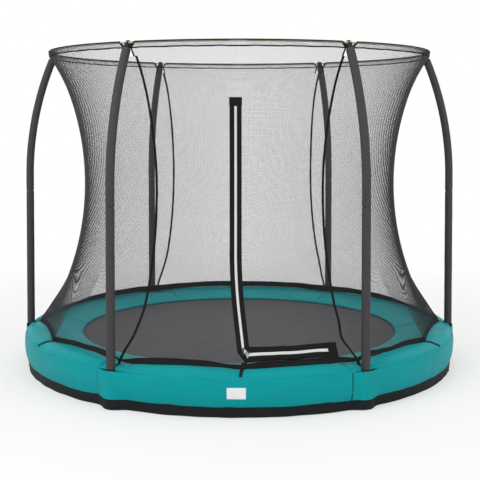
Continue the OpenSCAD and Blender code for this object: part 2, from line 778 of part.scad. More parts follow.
// Strap from the hem over the pad's crown
module tie_strap() {
    half = strap_width / 2 / crown_r * 180 / PI;
    turned(-half, half) {
        net_wall(strap_in, strap_out, crown_z, hem_bottom + hem_height - 2);
        difference() {
            pad_top(fit_gap + webbing_t, strap_start, strap_end);
            pad_top(fit_gap, strap_start - 1, strap_end + 1);
        }
    }
}

module tie_straps() {
    color(black) {
        at_poles() tie_strap();
        at_mids() tie_strap();
    }
}

// ---------------------------------------------------------------- zip door

// Flat outline seen from the front, cut through the front of the net
module from_front() {
    near = net_waist_radius * 0.7;
    rotate([90, 0, 0]) translate([0, 0, near]) linear_extrude(near) children();
}

// Upright band beside the upright zip
module upright(left, right, low, high) {
    polygon([[zip_x(low) + left, low], [zip_x(low) + right, low],
        [zip_x(high) + right, high], [zip_x(high) + left, high]]);
}

// Both legs of the zip as one band of a given half width
module zip_band(half) {
    upright(-half, half, zip_foot_z - half, zip_top_z);
    translate([zip_x(zip_foot_z) - half, zip_foot_z - half])
        square([zip_end_x - zip_x(zip_foot_z) + half, 2 * half]);
}

// Webbing each side of the teeth, and the patches on the ends
module webbing_outline() {
    patch_half = zip_half + 1.5;
    difference() {
        zip_band(zip_half);
        zip_band(teeth_half + layer_gap);
    }
    upright(-patch_half, patch_half, zip_top_z - 8, zip_top_z - 8 + zip_patch);
    translate([zip_end_x - 8, zip_foot_z - patch_half]) square([zip_patch, 2 * patch_half]);
}

module teeth_outline() {
    difference() {
        zip_band(teeth_half);
        translate([-zip_end_x, zip_top_z - 8 - layer_gap]) square([2 * zip_end_x, 2 * zip_patch]);
        translate([zip_end_x - 8 - layer_gap, zip_foot_z - zip_half]) square([zip_patch, 2 * zip_half]);
    }
}

// The flap: right of the upright zip, above the level zip, under the fold line
module door_outline(grow) {
    side = door_gap / 2 - grow;
    low = zip_foot_z + side;
    high = tip_z - door_blunt + grow;
    toe = tip_x - door_toe_blunt + grow;
    polygon([[zip_x(corner_z) + side, corner_z - grow], [zip_x(high) + side, high],
        [fold_x(high, grow), high], [toe, fold_z(toe, grow)], [toe, low],
        [corner_x - grow, low], [corner_x - grow, corner_z - grow]]);
}

module door_prism(grow) {
    from_front() door_outline(grow);
}

// Front sector of the net's surface between two distances
module front_wall(in, out) {
    turned(front - sector / 2, front + sector / 2)
        net_wall(in, out, zip_foot_z - zip_half - 9, blend_z + zip_patch);
}

module zip_webbing() {
    color(black) intersection() {
        front_wall(tape_in, tape_out);
        from_front() difference() {
            webbing_outline();
            door_outline(door_gap);
        }
    }
}

module zip_teeth() {
    color("white") intersection() {
        front_wall(tape_in, teeth_out);
        from_front() difference() {
            teeth_outline();
            door_outline(door_gap);
        }
    }
}

module door_net() {
    color(net_grey) intersection() {
        front_wall(-net_half, net_half);
        door_prism(0);
    }
}

module door_webbing() {
    color(black) intersection() {
        front_wall(tape_in, tape_out);
        from_front() intersection() {
            webbing_outline();
            door_outline(0);
        }
    }
}

module door_teeth() {
    color("white") intersection() {
        front_wall(tape_in, teeth_out);
        from_front() intersection() {
            teeth_outline();
            door_outline(0);
        }
    }
}

// Children on the net's front at a height: Y is inwards through the net, Z is up along it
module on_net(z) {
    angle = asin((z - waist_z) / net_curve_radius);
    translate([0, -net_centre, waist_z]) rotate([0, -zip_lean, 0]) rotate([angle, 0, 0])
        translate([0, net_curve_radius, 0]) children();
}

module on_foot(x) {
    angle = asin((zip_foot_z - waist_z) / net_curve_radius);
    rotate([0, 0, asin(x / (pole_radius - 130))]) translate([0, -net_centre, waist_z]) rotate([angle, 0, 0])
        translate([0, net_curve_radius, 0]) children();
}

// Slider body, running along Z, with the bridge that carries the pull's pin
module slider_body() {
    half = slider_length / 2;
    wide = slider_width / 2;
    rotate([90, 0, 0]) translate([0, 0, slider_in]) linear_extrude(slider_t)
        polygon([[-wide, half], [-wide + 1.5, -half + 2], [-wide + 3, -half], [wide - 3, -half],
            [wide - 1.5, -half + 2], [wide, half], [2, half], [0, half - 4], [-2, half]]);
}

module pull_bridge() {
    post = 1.2;
    span = 3.2;
    for (side = [-1, 1]) translate([side * (span + post / 2) - post / 2, -pin_out - 1.2, -1.4])
        cube([post, pin_out + 1.3 - slider_out, 2.8]);
    translate([-span - 0.1, -pin_out, 0]) rotate([0, 90, 0])
        cylinder(d = pin_d, h = 2 * span + 0.2, $fn = 24);
}

// Pull tab hanging on the pin
module pull_tab() {
    eye_r = pin_d / 2 + fit_gap + 1;
    wide = 5.6;
    tab_t = 1.8;
    hang = 12;
    translate([0, -pin_out, 0]) rotate([hang, 0, 0]) difference() {
        union() {
            translate([-wide / 2, 0, 0]) rotate([0, 90, 0]) cylinder(r = eye_r, h = wide, $fn = 30);
            translate([-wide / 2, -tab_t / 2, -pull_length + 4]) cube([wide, tab_t, pull_length - 4]);
            translate([0, tab_t / 2, -pull_length + 4]) rotate([90, 0, 0])
                cylinder(d = wide + 2, h = tab_t, $fn = 30);
        }
        translate([-wide, 0, 0]) rotate([0, 90, 0])
            cylinder(d = pin_d + 2 * fit_gap, h = 2 * wide, $fn = 24);
    }
}

module slider_up() {
    color([0.1, 0.35, 0.32]) on_net(slider_up_z) {
        slider_body();
        pull_bridge();
    }
}

module pull_up() {
    color([0.12, 0.4, 0.36]) on_net(slider_up_z) pull_tab();
}

module slider_side() {
    color([0.1, 0.35, 0.32]) on_foot(slider_side_x) {
        rotate([0, 90, 0]) slider_body();
        pull_bridge();
    }
}

module pull_side() {
    color([0.62, 0.78, 0.72]) on_foot(slider_side_x) pull_tab();
}

// ---------------------------------------------------------------- nodes

for (i = [1:sectors]) {
    ring_tube(i);
    leg(i);
    upper_pole(i);
    net_panel(i);
    pad(i);
}
foot_caps();
lower_poles();
pole_sleeves();
pole_clamps();
clamp_bolts();
pole_caps();
cap_screws();
net_rods();
rod_ferrules();
net_tunnel();
seam_tapes();
net_hem();
tie_straps();
pad_drop();
ground_skirt();
blank_patch();
mat();
mat_hem();
mat_links();
springs();
zip_webbing();
zip_teeth();
door_net();
door_webbing();
door_teeth();
slider_up();
slider_side();
pull_up();
pull_side();
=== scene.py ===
"""Garden trampoline with a waisted safety net, padded poles and an L-shaped zip door."""
import json
import math

import bmesh
import bpy
import numpy as np
from mathutils import Matrix, Vector


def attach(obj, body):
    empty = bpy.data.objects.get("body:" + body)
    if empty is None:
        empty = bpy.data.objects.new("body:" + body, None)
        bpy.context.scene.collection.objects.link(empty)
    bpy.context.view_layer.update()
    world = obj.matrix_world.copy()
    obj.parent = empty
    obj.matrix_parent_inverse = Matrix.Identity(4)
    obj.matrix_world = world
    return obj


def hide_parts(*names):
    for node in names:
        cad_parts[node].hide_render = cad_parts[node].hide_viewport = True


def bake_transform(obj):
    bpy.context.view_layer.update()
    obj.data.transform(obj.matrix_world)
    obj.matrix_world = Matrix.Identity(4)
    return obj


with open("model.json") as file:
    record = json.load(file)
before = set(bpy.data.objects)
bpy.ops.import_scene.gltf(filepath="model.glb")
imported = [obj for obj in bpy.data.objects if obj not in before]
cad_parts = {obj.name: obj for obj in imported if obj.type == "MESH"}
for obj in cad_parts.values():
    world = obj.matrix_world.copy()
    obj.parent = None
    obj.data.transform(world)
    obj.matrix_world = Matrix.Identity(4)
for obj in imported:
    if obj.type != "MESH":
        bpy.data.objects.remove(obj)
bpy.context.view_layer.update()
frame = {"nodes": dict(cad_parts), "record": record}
nodes = frame["nodes"]
bpy.ops.object.select_all(action="DESELECT")

# ------------------------------------------------------------ sizes, in metres and degrees

SECTOR = 60.0
RING_Z = 0.172
POLE_RADIUS = 1.295
SLEEVE_RADIUS = 0.023
CREASE_Z = 0.200
CROWN_RADIUS = 1.232
CROWN_Z = 0.236
PAD_INNER = 0.958
MAT_TOP = 0.176
SPRINGS = 48
WAIST_RADIUS = 0.943
WAIST_Z = 1.092
NET_CURVE = 1.6
BLEND_Z = 1.600
HEM_LOW = 0.2365
HEM_HIGH = 0.2595
ZIP_FOOT_Z = 0.293
ZIP_TOP_Z = 1.549
ZIP_END_X = 0.468
ZIP_ASIDE = 0.0138
ZIP_TOE = 0.128
TOE_STARTS, TOE_STRAIGHT = 0.78, 0.46
PARK = 0.025
POLE_BEND_Z = 1.122
POLE_BEND_RADIUS = 1.835
POLE_BEND_ANGLE = 22.9
CAP_ROD_UP = 0.030
CAP_ROD_OUT = 0.008
TUNNEL_DEPTH = 0.029
NOTCH_HALF = 0.041
NOTCH_DEPTH = 0.049
NOTCH_SLOT = 0.021
SLOT_HALF = 0.0236
PAD_SEAM = 3.6

bend = math.radians(POLE_BEND_ANGLE)
ROD_RING = (POLE_RADIUS - POLE_BEND_RADIUS + (POLE_BEND_RADIUS + CAP_ROD_OUT) * math.cos(bend)
            - CAP_ROD_UP * math.sin(bend))
ROD_Z = (POLE_BEND_Z + (POLE_BEND_RADIUS + CAP_ROD_OUT) * math.sin(bend)
         + CAP_ROD_UP * math.cos(bend))
SEAM_Z = ROD_Z - TUNNEL_DEPTH
NET_CENTRE = WAIST_RADIUS + NET_CURVE

# ------------------------------------------------------------ shader groups and materials


def new_group(name, inputs, outputs):
    """A shader node group with named sockets: (name, kind, default) in, (name, kind) out."""
    tree = bpy.data.node_groups.new(name, "ShaderNodeTree")
    for label, kind, value in inputs:
        socket = tree.interface.new_socket(label, in_out="INPUT", socket_type=kind)
        if value is not None:
            socket.default_value = value
    for label, kind in outputs:
        tree.interface.new_socket(label, in_out="OUTPUT", socket_type=kind)
    return tree, tree.nodes.new("NodeGroupInput"), tree.nodes.new("NodeGroupOutput")


def add(tree, kind, links=(), **values):
    """A node with its settings, and links given as (input, socket of another node)."""
    made = tree.nodes.new(kind)
    for key, value in values.items():
        if key.startswith("in_"):
            made.inputs[int(key[3:])].default_value = value
        else:
            setattr(made, key, value)
    for socket, source in links:
        tree.links.new(source, made.inputs[socket])
    return made


def mottle_group():
    """Slow and fine drifts of tone, as cloth and coatings have."""
    tree, given, put = new_group(
        "tone_drift",
        [("Color", "NodeSocketColor", (0.5, 0.5, 0.5, 1)), ("Size", "NodeSocketFloat", 6.0),
         ("Amount", "NodeSocketFloat", 0.15)],
        [("Color", "NodeSocketColor"), ("Mask", "NodeSocketFloat")])
    where = add(tree, "ShaderNodeTexCoord")
    slow = add(tree, "ShaderNodeTexNoise",
               [("Vector", where.outputs["Object"]), ("Scale", given.outputs["Size"])])
    slow.inputs["Detail"].default_value = 4
    fine = add(tree, "ShaderNodeTexNoise", [("Vector", where.outputs["Object"])])
    fine.inputs["Scale"].default_value = 420
    fine.inputs["Detail"].default_value = 2
    both = add(tree, "ShaderNodeMath", [(0, slow.outputs["Fac"]), (1, fine.outputs["Fac"])], operation="ADD")
    level = add(tree, "ShaderNodeMath", [(0, both.outputs[0])], operation="SUBTRACT", in_1=1.0)
    swing = add(tree, "ShaderNodeMath", [(0, level.outputs[0]), (1, given.outputs["Amount"])],
                operation="MULTIPLY")
    gain = add(tree, "ShaderNodeMath", [(0, swing.outputs[0])], operation="ADD", in_1=1.0)
    scaled = add(tree, "ShaderNodeVectorMath", [(0, given.outputs["Color"]), ("Scale", gain.outputs[0])],
                 operation="SCALE")
    tree.links.new(scaled.outputs[0], put.inputs["Color"])
    tree.links.new(slow.outputs["Fac"], put.inputs["Mask"])
    return tree


def weave_group():
    """Height of crossing threads, the same in every plane."""
    tree, given, put = new_group(
        "crossing_threads",
        [("Pitch", "NodeSocketFloat", 0.001)],
        [("Height", "NodeSocketFloat")])
    where = add(tree, "ShaderNodeTexCoord")
    turns = add(tree, "ShaderNodeMath", [(1, given.outputs["Pitch"])], operation="DIVIDE", in_0=math.tau)
    spread = add(tree, "ShaderNodeVectorMath", [(0, where.outputs["Object"]), ("Scale", turns.outputs[0])],
                 operation="SCALE")
    waves = add(tree, "ShaderNodeVectorMath", [(0, spread.outputs[0])], operation="SINE")
    parts = add(tree, "ShaderNodeSeparateXYZ", [(0, waves.outputs[0])])
    flat = add(tree, "ShaderNodeMath", [(0, parts.outputs[0]), (1, parts.outputs[1])], operation="ADD")
    total = add(tree, "ShaderNodeMath", [(0, flat.outputs[0]), (1, parts.outputs[2])], operation="ADD")
    tree.links.new(total.outputs[0], put.inputs["Height"])
    return tree


def grain_group():
    """Fine grain of a moulded, cast or coated skin."""
    tree, given, put = new_group(
        "skin_grain",
        [("Size", "NodeSocketFloat", 900.0), ("Roughness", "NodeSocketFloat", 0.5),
         ("Swing", "NodeSocketFloat", 0.15)],
        [("Height", "NodeSocketFloat"), ("Roughness", "NodeSocketFloat")])
    where = add(tree, "ShaderNodeTexCoord")
    grain = add(tree, "ShaderNodeTexNoise",
                [("Vector", where.outputs["Object"]), ("Scale", given.outputs["Size"])])
    grain.inputs["Detail"].default_value = 3
    blotch = add(tree, "ShaderNodeTexNoise", [("Vector", where.outputs["Object"])])
    blotch.inputs["Scale"].default_value = 14
    level = add(tree, "ShaderNodeMath", [(0, blotch.outputs["Fac"])], operation="SUBTRACT", in_1=0.5)
    swing = add(tree, "ShaderNodeMath", [(0, level.outputs[0]), (1, given.outputs["Swing"])],
                operation="MULTIPLY")
    rough = add(tree, "ShaderNodeMath", [(0, swing.outputs[0]), (1, given.outputs["Roughness"])],
                operation="ADD")
    tree.links.new(grain.outputs["Fac"], put.inputs["Height"])
    tree.links.new(rough.outputs[0], put.inputs["Roughness"])
    return tree


def spangle_group():
    """Crystals of a galvanised coat."""
    tree, given, put = new_group(
        "zinc_spangle",
        [("Size", "NodeSocketFloat", 90.0)],
        [("Tone", "NodeSocketFloat")])
    where = add(tree, "ShaderNodeTexCoord")
    cells = add(tree, "ShaderNodeTexVoronoi",
                [("Vector", where.outputs["Object"]), ("Scale", given.outputs["Size"])])
    parts = add(tree, "ShaderNodeSeparateColor", [(0, cells.outputs["Color"])])
    tree.links.new(parts.outputs[0], put.inputs["Tone"])
    return tree


TONE_DRIFT = mottle_group()
CROSSING_THREADS = weave_group()
SKIN_GRAIN = grain_group()
ZINC_SPANGLE = spangle_group()


def use(tree, group, **values):
    made = tree.nodes.new("ShaderNodeGroup")
    made.node_tree = group
    for key, value in values.items():
        made.inputs[key].default_value = value
    return made


def finish_material(name, colour, rough, drift=0.12, drift_size=6.0, weave=None, weave_depth=0.0002,
                    grain=900.0, grain_depth=0.00004, metal=0.0, coat=0.0, specular=0.5, zinc=0.0):
    """A finish from the shared groups: tone drift, threads or grain in the bump, and a rough skin."""
    made = bpy.data.materials.new(name)
    made.use_nodes = True
    tree = made.node_tree
    skin = tree.nodes["Principled BSDF"]
    skin.inputs["Metallic"].default_value = metal
    skin.inputs["Specular IOR Level"].default_value = specular
    skin.inputs["Coat Weight"].default_value = coat
    skin.inputs["Coat Roughness"].default_value = 0.25
    skin.inputs["Sheen Roughness"].default_value = 0.4
    tone = use(tree, TONE_DRIFT, Color=(*colour, 1), Size=drift_size, Amount=drift)
    if zinc:
        cells = use(tree, ZINC_SPANGLE, Size=zinc)
        low = add(tree, "ShaderNodeMath", [(0, cells.outputs[0])], operation="MULTIPLY_ADD", in_1=0.3,
                  in_2=0.8)
        mixed = add(tree, "ShaderNodeVectorMath", [(0, tone.outputs["Color"]), ("Scale", low.outputs[0])],
                    operation="SCALE")
        tree.links.new(mixed.outputs[0], skin.inputs["Base Color"])
    else:
        tree.links.new(tone.outputs["Color"], skin.inputs["Base Color"])
    fine = use(tree, SKIN_GRAIN, Size=grain, Roughness=rough, Swing=0.18)
    tree.links.new(fine.outputs["Roughness"], skin.inputs["Roughness"])
    bump = add(tree, "ShaderNodeBump", [("Height", fine.outputs["Height"])])
    bump.inputs["Distance"].default_value = grain_depth
    if weave:
        threads = use(tree, CROSSING_THREADS, Pitch=weave)
        woven = add(tree, "ShaderNodeBump",
                    [("Height", threads.outputs["Height"]), ("Normal", bump.outputs[0])])
        woven.inputs["Distance"].default_value = weave_depth
        bump = woven
    tree.links.new(bump.outputs[0], skin.inputs["Normal"])
    return made


galvanised = finish_material("galvanised_tube", (0.62, 0.63, 0.64), 0.38, metal=1.0, zinc=110.0, drift=0.08)
zinc_plate = finish_material("bright_zinc", (0.70, 0.71, 0.72), 0.28, metal=1.0, drift=0.06, grain=1400.0)
spring_wire = finish_material("spring_wire", (0.60, 0.61, 0.62), 0.32, metal=1.0, drift=0.08, grain=1600.0)
black_moulding = finish_material("black_moulding", (0.014, 0.013, 0.016), 0.55, grain=1200.0,
                                 grain_depth=0.00008,
                                 specular=0.2)
ivory_moulding = finish_material("ivory_moulding", (0.56, 0.50, 0.36), 0.5)
foam_skin = finish_material("foam_skin", (0.046, 0.043, 0.044), 0.62, drift=0.22, drift_size=9.0, grain=700.0,
                            grain_depth=0.00015, specular=0.3)
drawn_rod = finish_material("drawn_glass_rod", (0.50, 0.42, 0.27), 0.42)
net_thread = finish_material("net_thread", (0.050, 0.048, 0.053), 0.75, grain=2500.0, grain_depth=0.00002)
teal_cloth = finish_material("teal_coated_cloth", (0.002, 0.322, 0.345), 0.42, drift=0.16, drift_size=5.0,
                             weave=0.0011, weave_depth=0.00006, specular=0.09)
black_webbing = finish_material("black_webbing", (0.011, 0.010, 0.012), 0.75, weave=0.0022,
                                weave_depth=0.0004,
                                specular=0.18)
black_cloth = finish_material("black_coated_cloth", (0.009, 0.010, 0.012), 0.6, weave=0.0014,
                              weave_depth=0.0001, drift=0.2, specular=0.18)
white_cloth = finish_material("white_cloth", (0.86, 0.88, 0.89), 0.5, weave=0.0008, weave_depth=0.00004,
                              drift=0.04)
mat_weave = finish_material("mat_weave", (0.084, 0.080, 0.090), 0.62, weave=0.0030, weave_depth=0.0006,
                            drift=0.14, drift_size=3.0)
zip_nylon = finish_material("zip_nylon", (0.84, 0.84, 0.82), 0.38, drift=0.05)
slider_paint = finish_material("slider_paint", (0.012, 0.105, 0.085), 0.32, coat=0.3, grain=1500.0)
dark_pull = finish_material("dark_green_pull", (0.014, 0.13, 0.105), 0.45)
pale_pull = finish_material("pale_green_pull", (0.36, 0.60, 0.50), 0.45)

SLOTS = {"galvanised_steel": galvanised, "zinc_steel": zinc_plate, "spring_steel": spring_wire,
         "black_plastic": black_moulding, "ivory_plastic": ivory_moulding, "grey_foam": foam_skin,
         "fibreglass": drawn_rod, "net": net_thread, "teal_cover": teal_cloth, "black_webbing": black_webbing,
         "black_fabric": black_cloth, "white_patch": white_cloth, "mat_fabric": mat_weave,
         "zip_nylon": zip_nylon, "green_slider": slider_paint, "green_pull": dark_pull,
         "pale_pull": pale_pull}
for part in frame["record"]["subparts"]:
    mesh = nodes[part["node"]].data
    mesh.materials.clear()
    mesh.materials.append(SLOTS[part["material_slot"]])

# ------------------------------------------------------------ helpers for pieces


def piece(name, points, faces, slot, body="base", stands_for=(), smooth=True):
    """A mesh piece from its points and faces, with its finish, on a body."""
    mesh = bpy.data.meshes.new(name)
    mesh.from_pydata([tuple(p) for p in points], [], [tuple(f) for f in faces])
    mesh.materials.append(SLOTS[slot])
    mesh.polygons.foreach_set("use_smooth", [smooth] * len(mesh.polygons))
    mesh.update()
    made = bpy.data.objects.new(name, mesh)
    bpy.context.scene.collection.objects.link(made)
    if body:
        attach(made, body)
    if stands_for:
        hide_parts(*stands_for)
    return made


def sweep(paths, sides, closed=False):
    """Tubes or straps along paths: each path is rings of points, all rings with as many points as sides."""
    points, faces = [], []
    for rings in paths:
        start = len(points)
        count = len(rings)
        for ring in rings:
            points.extend(ring)
        for k in range(count if closed else count - 1):
            a = start + k * sides
            b = start + ((k + 1) % count) * sides
            for s in range(sides):
                t = (s + 1) % sides
                faces.append((a + s, a + t, b + t, b + s))
        if not closed:
            faces.append(tuple(start + s for s in reversed(range(sides))))
            faces.append(tuple(start + (count - 1) * sides + s for s in range(sides)))
    return points, faces


def use_modifier(made, kind, **settings):
    """Puts a modifier on a piece and applies it."""
    modifier = made.modifiers.new(kind.lower(), kind)
    for key, value in settings.items():
        setattr(modifier, key, value)
    bpy.context.view_layer.objects.active = made
    bpy.ops.object.modifier_apply(modifier=modifier.name)


def step(low, high, value):
    """0 below low, 1 above high, smooth between."""
    t = np.clip((np.asarray(value, float) - low) / (high - low), 0, 1)
    return t * t * (3 - 2 * t)


# ------------------------------------------------------------ the net's surface

blend_r = NET_CENTRE - math.sqrt(NET_CURVE ** 2 - (BLEND_Z - WAIST_Z) ** 2)
to_centre = np.array([NET_CENTRE - blend_r, WAIST_Z - BLEND_Z]) / NET_CURVE
to_rod = np.array([ROD_RING - blend_r, SEAM_Z - BLEND_Z])
TOP_CURVE = float(to_rod @ to_rod / (2 * (to_rod @ to_centre)))
TOP_CENTRE = np.array([blend_r, BLEND_Z]) + TOP_CURVE * to_centre


def net_radius(z):
    z = np.asarray(z, float)
    low = NET_CENTRE - np.sqrt(np.maximum(NET_CURVE ** 2 - (z - WAIST_Z) ** 2, 0))
    high = TOP_CENTRE[0] - np.sqrt(np.maximum(TOP_CURVE ** 2 - (z - TOP_CENTRE[1]) ** 2, 0))
    return np.where(z > BLEND_Z, high, low)


def hem_pull(azimuth, z):
    """How far the hem's ties draw the net out of round: the hem runs straight from tie to tie."""
    azimuth = np.asarray(azimuth, float)
    from_pole = np.radians(np.abs((azimuth + 30) % 60 - 30))
    straight = 0.72472 / (0.5955 * np.cos(from_pole) + 0.18556 * np.sin(from_pole))
    by_zip = step(259, 265, azimuth % 360) * (1 - step(298, 300.2, azimuth % 360))
    wide = 1 - step(HEM_LOW, 0.56, z)
    tight = 1 - step(HEM_LOW, 0.268, z)
    return (straight - 1.1836) * (wide * (1 - by_zip) + tight * by_zip)


def tie_dip(azimuth):
    """How far the ties pull the hem and the pad's crown down, most at the poles."""
    azimuth = np.asarray(azimuth, float)
    from_pole = np.radians((azimuth + 30) % 60 - 30) * CROWN_RADIUS
    from_middle = np.radians(azimuth % 60 - 30) * CROWN_RADIUS
    return 0.019 * np.exp(-(from_pole / 0.15) ** 2) + 0.008 * np.exp(-(from_middle / 0.12) ** 2)


# where the hem's lower edge rides over its level line round the front, in millimetres, and how tall the
# hem is there
HEM_AT = [225, 229, 232.7, 235, 239.0, 240.8, 244.2, 250, 256.6, 262.5, 267, 271, 273.5, 275.5, 280.8,
          286.6, 292,
          295.2, 299, 302, 305, 309, 314, 322]
HEM_RIDES = [0, 4, 7.5, 9.5, 30, 16, 1, 0, 0, 0, 0, 0, 0, 0, 0, 0, 2, 7.5, 15, 24, 12, 3, -3, 0]
HEM_TALL = [23, 24, 24, 26, 8, 8, 23, 20, 19, 22, 16, 15, 16, 21, 19, 19, 22, 23, 15, 17, 27, 21, 17, 23]
HEM_FLARE = [0, 0, 0, 0, 0, 0, 10, 46, 34, 26, 8, 20, 36, 50, 54, 46, 22, 0, 0, 0, 0, 0, 6, 0]


def hem_rides(azimuth):
    return np.interp(np.asarray(azimuth, float) % 360, HEM_AT, HEM_RIDES) / 1000


def net_point(azimuth, z):
    """Points on the middle of the net."""
    azimuth, z = np.broadcast_arrays(np.asarray(azimuth, float), np.asarray(z, float))
    lower = tie_dip(azimuth) * (1 - step(HEM_LOW, 0.34, z))
    lift = hem_rides(azimuth) * (1 - step(HEM_LOW, 0.40, z))
    radius = net_radius(z) + hem_pull(azimuth, z) + 0.75 * lower
    turn = np.radians(azimuth)
    return np.stack([radius * np.cos(turn), radius * np.sin(turn), z - lower + lift], -1)


def net_frame(azimuth, z):
    """Points on the net with unit vectors along the net level, up the net and out of it."""
    here = net_point(azimuth, z)
    level = net_point(np.asarray(azimuth) + 0.05, z) - here
    up = net_point(azimuth, np.asarray(z) + 0.0005) - here
    level /= np.linalg.norm(level, axis=-1, keepdims=True)
    up /= np.linalg.norm(up, axis=-1, keepdims=True)
    out = np.cross(level, up)
    out /= np.linalg.norm(out, axis=-1, keepdims=True)
    return here, level, up, out


# ------------------------------------------------------------ netting, thread by thread

# A thread's half width, and how many times deeper than wide it is across the net. Its ends are left open.
THREAD = 0.00034
THREAD_DEEP = 1.5
MESH_PITCH = 0.0044
TRIANGLE = [(math.cos(a), math.sin(a)) for a in (math.radians(90), math.radians(210), math.radians(330))]


def zip_x(z):
    """Distance of the upright zip from the middle: plumb at the top, its toe drawn to the right by the
    tie."""
    bent = np.clip(TOE_STARTS - np.asarray(z, float), 0, TOE_STARTS - TOE_STRAIGHT) ** 2
    return (ZIP_TOE * (bent / (2 * (TOE_STARTS - TOE_STRAIGHT)) + np.maximum(TOE_STRAIGHT - z, 0))
            - ZIP_ASIDE)


def foot_z(x):
    """Height of the level zip, which sinks and waves a little towards its end."""
    along = np.clip((np.asarray(x, float) - 0.03) / 0.44, 0, 1.1)
    shift = np.interp(x, [0.0, 0.05, 0.11, 0.17, 0.22, 0.30, 0.42, 0.50],
                      [-4.0, -4.0, -3.5, -1.5, 2.5, 3.5, 5.0, 5.0])
    return ZIP_FOOT_Z - 0.010 * along ** 1.4 + 0.0022 * np.sin(along * 9.0) + shift / 1000


corner_x = float(zip_x(ZIP_FOOT_Z)) + PARK + 0.006
corner_z = ZIP_FOOT_Z + PARK
tip_z = ZIP_TOP_Z - PARK
tip_x = ZIP_END_X - PARK
fold_top = Vector((float(zip_x(tip_z)), 0, tip_z))
fold_end = Vector((tip_x, 0, float(foot_z(tip_x))))


def in_door(points, grow=0.0):
    """True for points of the front net that are on the door."""
    x, z = points[..., 0], points[..., 2]
    right_of_zip = x > zip_x(z) - grow
    over_foot = z > foot_z(x) - grow
    along = ((x - fold_top.x) * (fold_end.z - fold_top.z) - (z - fold_top.z) * (fold_end.x - fold_top.x))
    under_fold = along / (fold_end - fold_top).length > -grow
    past_corner = (x > corner_x - grow) | (z > corner_z - grow)
    return right_of_zip & over_foot & under_fold & past_corner & (points[..., 1] < 0)


def strands(lines, spans, level_threads):
    """Three-sided threads along level or upright lines of the net. Each line is (fixed value, runs),
    and a run is the (start, end) of a thread. A span is its longest straight piece, and its ends are open."""
    points, faces = [], []
    total = 0
    for fixed, runs in lines:
        for start, end in runs:
            count = max(2, int(math.ceil(abs(end - start) / spans)) + 1)
            way = np.linspace(start, end, count)
            if level_threads:
                here, level, up, out = net_frame(way, np.full(count, fixed))
                side, along = up, THREAD_DEEP * out
            else:
                here, level, up, out = net_frame(np.full(count, fixed), way)
                side, along = THREAD_DEEP * out, level
            for a, b in TRIANGLE:
                points.append(here + THREAD * (a * side + b * along))
            base = total + np.arange(count - 1)
            for s in range(3):
                t = (s + 1) % 3
                faces.append(np.stack([base + s * count, base + s * count + 1,
                                       base + t * count + 1, base + t * count], -1))
            total += 3 * count
    return np.concatenate(points), np.concatenate(faces)


def runs_where(values, keep):
    """The stretches of a sampled line that are kept, as (start, end)."""
    found, start = [], None
    for k, inside in enumerate(keep):
        if inside and start is None:
            start = values[k]
        if not inside and start is not None:
            found.append((start, values[k - 1]))
            start = None
    if start is not None:
        found.append((start, values[-1]))
    return [(a, b) for a, b in found if abs(b - a) > 1e-4]


def notch_top(azimuth):
    """Height of the net's top edge, lower in the notch at each pole."""
    away = math.radians(abs((azimuth + 30) % 60 - 30)) * ROD_RING
    return ROD_Z - NOTCH_DEPTH - NOTCH_SLOT if away < SLOT_HALF else SEAM_Z


def netting(first, last, wanted):
    """Both ways of thread of one sector. wanted tells which points of a line belong to the piece."""
    heights, z = [], HEM_LOW + 0.004
    while z < SEAM_Z:
        heights.append(z)
        slope = (net_radius(z + 0.001) - net_radius(z)) / 0.001
        z += MESH_PITCH / math.sqrt(1 + float(slope) ** 2)
    level_lines, upright_lines = [], []
    fine = np.linspace(first, last, 481)
    for z in heights:
        keep = wanted(net_point(fine, z))
        if z > ROD_Z - NOTCH_DEPTH - NOTCH_SLOT:
            keep &= np.array([notch_top(a) > z for a in fine])
        level_lines.append((z, runs_where(fine, keep)))
    count = int(round(math.radians(last - first) * WAIST_RADIUS / MESH_PITCH))
    for azimuth in first + (np.arange(count) + 0.5) * (last - first) / count:
        way = np.linspace(HEM_LOW + 0.004, notch_top(azimuth), 400)
        upright_lines.append((azimuth, runs_where(way, wanted(net_point(azimuth, way)))))
    level_points, level_faces = strands(level_lines, 3.0, True)
    upright_points, upright_faces = strands(upright_lines, 0.06, False)
    return (np.concatenate([level_points, upright_points]),
            np.concatenate([level_faces, upright_faces + len(level_points)]))


def everything(points):
    return np.ones(points.shape[:-1], bool)


def outside_door(points):
    return ~in_door(points)


for i in range(1, 7):
    points, faces = netting((i - 1) * SECTOR, i * SECTOR, outside_door if i == 5 else everything)
    panel = piece(f"netting_{i}", points, faces, "net", stands_for=[f"net_panel_{i}"])


def fold_door(made):
    """Bakes the placement of a piece of the door into its mesh; the piece is not bent out of the net."""
    across = Vector((fold_end.z - fold_top.z, 0, fold_top.x - fold_end.x)).normalized()
    if across.x > 0:
        across.negate()
    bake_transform(made)


points, faces = netting(4 * SECTOR, 5 * SECTOR, in_door)
door_netting = piece("door_netting", points, faces, "net", body=None, stands_for=["door_net"])
fold_door(door_netting)

# ------------------------------------------------------------ bands, straps and sheets with a thickness


def face_out(points, faces, away):
    """The faces, turned if need be so that the first one looks along a direction."""
    a, b, c = (np.asarray(points[k]) for k in faces[0][:3])
    if np.dot(np.cross(b - a, c - b), away) < 0:
        return [tuple(reversed(f)) for f in faces]
    return faces


